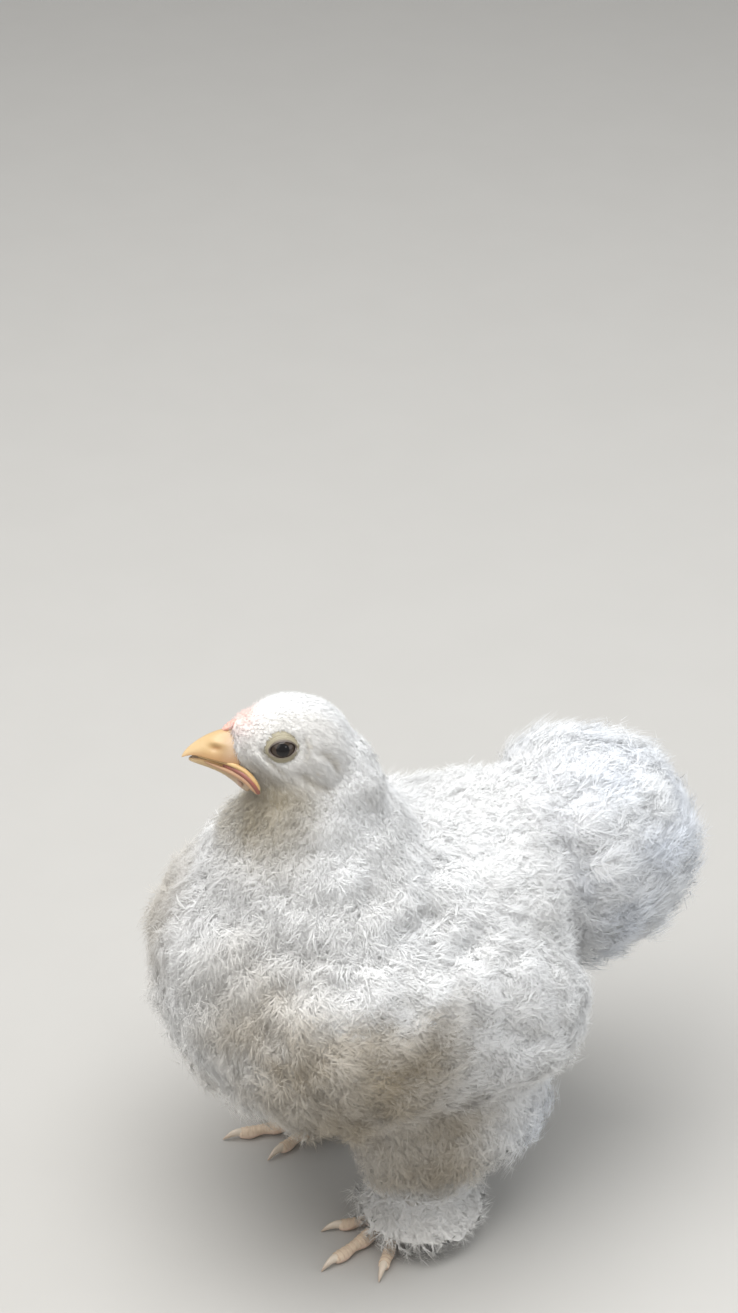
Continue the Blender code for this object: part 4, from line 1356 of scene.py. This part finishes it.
def plated(masks, lowest):
    # gives a tube overlapping plates on its upper side and pads on the lower
    def shape(rings, line, turn):
        reach = np.concatenate([[0], np.cumsum(length(np.diff(line, axis=0)))])[:, None]
        step = (reach / legShape["scute"]) % 1
        upper = ease(np.sin(turn), -0.1, 0.35)
        masks["seam"] = bell(np.minimum(step, 1 - step) / legShape["seam"]) * upper
        masks["top"] = np.broadcast_to(upper, rings.shape[:2])
        rise = legShape["raise"] * (step - 0.5) * upper
        pad = legShape["pad"]["high"] * np.sin(reach * 2 * math.pi / legShape["pad"]["long"]) * (1 - upper)
        rings = rings + unit(rings - rings.mean(1, keepdims=True)) * (rise + pad)[..., None]
        rings[..., 2] = np.maximum(rings[..., 2], lowest)
        return rings

    return shape


def makeToe(name, foot, lie, size, finish):
    long, base, tip = size
    heights = legShape["toeHeights"]
    shares = np.linspace(0, 1, len(heights))
    line = [foot + lie * long * share + (0, 0, height) for share, height in zip(shares, heights)]
    radii = [(base + (tip - base) * share) * (1 + 0.08 * math.cos(share * 4 * math.pi)) for share in shares]
    radii = [(radius, min(radius, height)) for radius, height in zip(radii, heights)]
    line, radii = line + [foot + lie * (long + 1.0) + (0, 0, 1.7)], radii + [(0.4, 0.4)]
    masks, rows = {}, int(long * 5)
    shape = plated(masks, 0.02)
    return tubeOf("toe_" + name, line, radii, birdFrame, None, finish, rows, 20, 0, shape=shape, masks=masks)


def makeClaw(name, root, lie, finish):
    rows, columns = 22, 16
    line = [root + lie * ahead + (0, 0, height) for ahead, height, _, _ in legShape["claw"]]
    radii = [sizes[2:] for sizes in legShape["claw"]]
    masks = {"front": np.broadcast_to(np.linspace(0, 1, rows)[:, None] ** 2, (rows, columns + 1))}
    piece = tubeOf(f"claw_{name}_horn", line, radii, birdFrame, "claw", finish, rows, columns, 1, masks=masks)
    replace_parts(piece, "claw_" + name)


def makeLegs():
    scales, horn = scaleFinish(), clawFinish()
    for side, sign in sides:
        foot = np.array(legShape["foot"]) * (sign, 1, 1)
        toes = []
        for toe, (angle, long, *ends) in legShape["toes"].items():
            lie = outward(angle, sign)
            toes.append(makeToe(f"{side}_{toe}", foot, lie, (long, *ends), scales))
            makeClaw(f"{side}_{toe}", foot + lie * long, lie, horn)
        masks = {}
        line = np.array(legShape["shank"]) * (sign, 1, 1)
        shank = tubeOf(
            f"shank_{side}_scales", line, legShape["shankRadii"], birdFrame, "scale_skin", scales, 110, 28, 0,
            up=(0, 1, 0), shape=plated(masks, 0.4), masks=masks,
        )
        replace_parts(shank, "shank_" + side)
        pick(*toes)
        bpy.ops.object.join()
        toes[0].name = f"foot_{side}_scales"
        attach(toes[0], "root")
        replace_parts(toes[0], "foot_" + side)


# feathers of the shanks and feet: soft vanes with loose barbs
footFeathers = {
    "layers": (  # how many, height of root and tip, reach, first and last angle
        (12, 16, 9, 10, -30, 200), (13, 13, 6, 13, -30, 190), (13, 10, 3.5, 14, -25, 180),
        (12, 7, 1.6, 14, -10, 170),
    ),
    "wider": 0.2, "arch": 2.4,
    "barbs": 26, "barbLength": 5.2, "spread": 0.7, "loose": 0.5, "droop": 0.16, "lowest": 0.5,
}
footVanes = dict(vaneSettings, broad=0.03)
footBarbs = dict(
    downSettings, blades=5, rings=1, fan=0.9, gather=0.0, start=0.0, broad=0.026, least=0.07, curl=0.25,
    lump=0.0, relief=0.3,
)


def footShafts(sign):
    foot = np.array(legShape["foot"], float) * (sign, 1, 1)
    shafts = []
    for count, rootHeight, tipHeight, reach, first, last in footFeathers["layers"]:
        for number in range(count):
            angle = first + (last - first) * (number + draw.uniform(-0.6, 0.6)) / (count - 1)
            far = reach * draw.uniform(0.75, 1.1) * (1 + footFeathers["wider"] * ease(angle, 30, 120))
            t = np.linspace(0, 1, 4)
            arch = footFeathers["arch"] * np.sin(t * math.pi) * draw.uniform(0.6, 1.3)
            fall = rootHeight - (rootHeight - tipHeight) * t**1.25 + arch
            level = foot + (0, rootHeight * 0.16, 0) + outward(angle, sign) * (2.6 + far * t)[:, None]
            shafts.append(level + fall[:, None] * np.array((0, 0, 1)))
    return np.array(shafts)


def growFootFeathers(side, sign):
    shafts = footShafts(sign)
    alongs = unit(np.gradient(shafts, axis=1))
    outs = unit(np.cross(np.cross(alongs, (0, 0, 1)), alongs))
    places = shafts * mm + np.array(birdShift)
    roots = places[:, 0]
    spots = bed.nearest(roots)[2]
    tones = draw.uniform(0, 1, len(shafts))
    route = (places, outs, alongs, length(np.diff(shafts, axis=1)).sum(1))
    growVanes(f"foot_vanes_{side}", roots, outs[:, 0], spots, tones, footVanes, route)
    # barbs leave the shaft on both sides
    count = footFeathers["barbs"]
    which = np.repeat(np.arange(len(shafts)), count)
    share = np.tile(np.linspace(0.04, 0.98, count), len(shafts))
    start, out, lie = along(places[which], share), along(outs[which], share), along(alongs[which], share)
    right = unit(np.cross(lie, out))
    hand = np.where(np.arange(len(which)) % 2 == 0, 1, -1) * footFeathers["spread"]
    hand = hand * draw.uniform(0.4, 1.3, len(which)) + draw.normal(0, footFeathers["loose"], len(which))
    aim = unit(lie + right * hand[:, None] + out * draw.normal(0.3, 0.35, len(which))[:, None])
    long = footFeathers["barbLength"] * draw.uniform(0.6, 1.1, len(which)) * (1 - 0.35 * share)
    t = np.linspace(0, 1, 4)
    path = start[:, None] + aim[:, None] * (long[:, None] * t * mm)[..., None]
    path[..., 2] -= (long[:, None] * footFeathers["droop"] * t**2) * mm
    path[..., 2] = np.maximum(path[..., 2], footFeathers["lowest"] * mm)
    route = (path, np.repeat(out[:, None], 4, 1), np.repeat(aim[:, None], 4, 1), long)
    growDown(f"foot_down_{side}", start, out, spots[which], None, footBarbs, route)


makeLegs()
for side, sign in sides:
    growFootFeathers(side, sign)
print("legs, feet and claws modelled")

# floor, light and camera

studio = {
    "floor": {"colour": (0.46, 0.445, 0.42), "grain": (0.52, 0.505, 0.48), "size": 6},
    "aim": (0, 0, 0.09),
    "lights": {  # place, size, energy and colour
        "key": ((0.0, -0.15, 1.2), 1.3, 19.5, (0.985, 0.995, 1.0)),
        "fill": ((0.2, -1.0, 0.8), 1.2, 4.0, (1.0, 0.99, 0.97)),
        "rear": ((0.2, 0.9, 0.6), 0.8, 2.6, (0.88, 0.94, 1.0)),
        "side": ((1.1, 0.8, 0.4), 0.8, 2.3, (0.95, 0.98, 1.0)),
        "glint": ((0.83, -0.065, 0.518), 0.12, 0.2, (1.0, 1.0, 1.0)),
    },
    "world": (0.39, 0.395, 0.40),
    "camera": {"place": (0.6346, -0.35825, 0.6236), "elevation": -31.41, "azimuth": 152.09},
    "sensor": 36,
    "focusRows": 3051,  # focal length in rows of the photo
    "photoRows": 1313,
}


def makeFloor():
    bpy.ops.object.select_all(action="DESELECT")
    bpy.ops.mesh.primitive_plane_add(size=studio["floor"]["size"], location=(0, 0, 0))
    floor = bpy.context.object
    floor.name = "floor"
    finish = Finish("floor_finish", 0.8)
    grain = finish.ease(finish.noise(30, 3), 0.3, 0.7)
    colour = finish.mix(grain * 0.1, studio["floor"]["colour"], studio["floor"]["grain"])
    floor.data.materials.append(finish.wire(Base_Color=colour))


def stand(thing, place, aim):
    turn = aim.to_track_quat("-Z", "Y").to_matrix().to_4x4()
    thing.matrix_world = Matrix.Translation(place) @ turn
    bpy.context.collection.objects.link(thing)


def makeLights():
    for name, (place, size, energy, colour) in studio["lights"].items():
        light = bpy.data.lights.new(name, "AREA")
        light.shape = "DISK"
        light.size = size
        light.energy = energy
        light.color = colour
        stand(bpy.data.objects.new(name, light), place, Vector(studio["aim"]) - Vector(place))
    world = bpy.data.worlds.new("studio")
    world.use_nodes = True
    world.node_tree.nodes["Background"].inputs[0].default_value = (*studio["world"], 1)
    bpy.context.scene.world = world


def makeCamera():
    view = studio["camera"]
    data = bpy.data.cameras.new("camera")
    data.sensor_fit = "VERTICAL"
    data.sensor_height = studio["sensor"]
    data.lens = studio["sensor"] * studio["focusRows"] / studio["photoRows"]
    data.clip_start = 0.01
    camera = bpy.data.objects.new("camera", data)
    elevation, azimuth = math.radians(view["elevation"]), math.radians(view["azimuth"])
    level = math.cos(elevation)
    aim = Vector((level * math.cos(azimuth), level * math.sin(azimuth), math.sin(elevation)))
    stand(camera, view["place"], aim)
    bpy.context.scene.camera = camera
    bpy.context.scene.view_settings.view_transform = "Standard"


makeFloor()
makeLights()
makeCamera()
print("floor, light and camera placed")
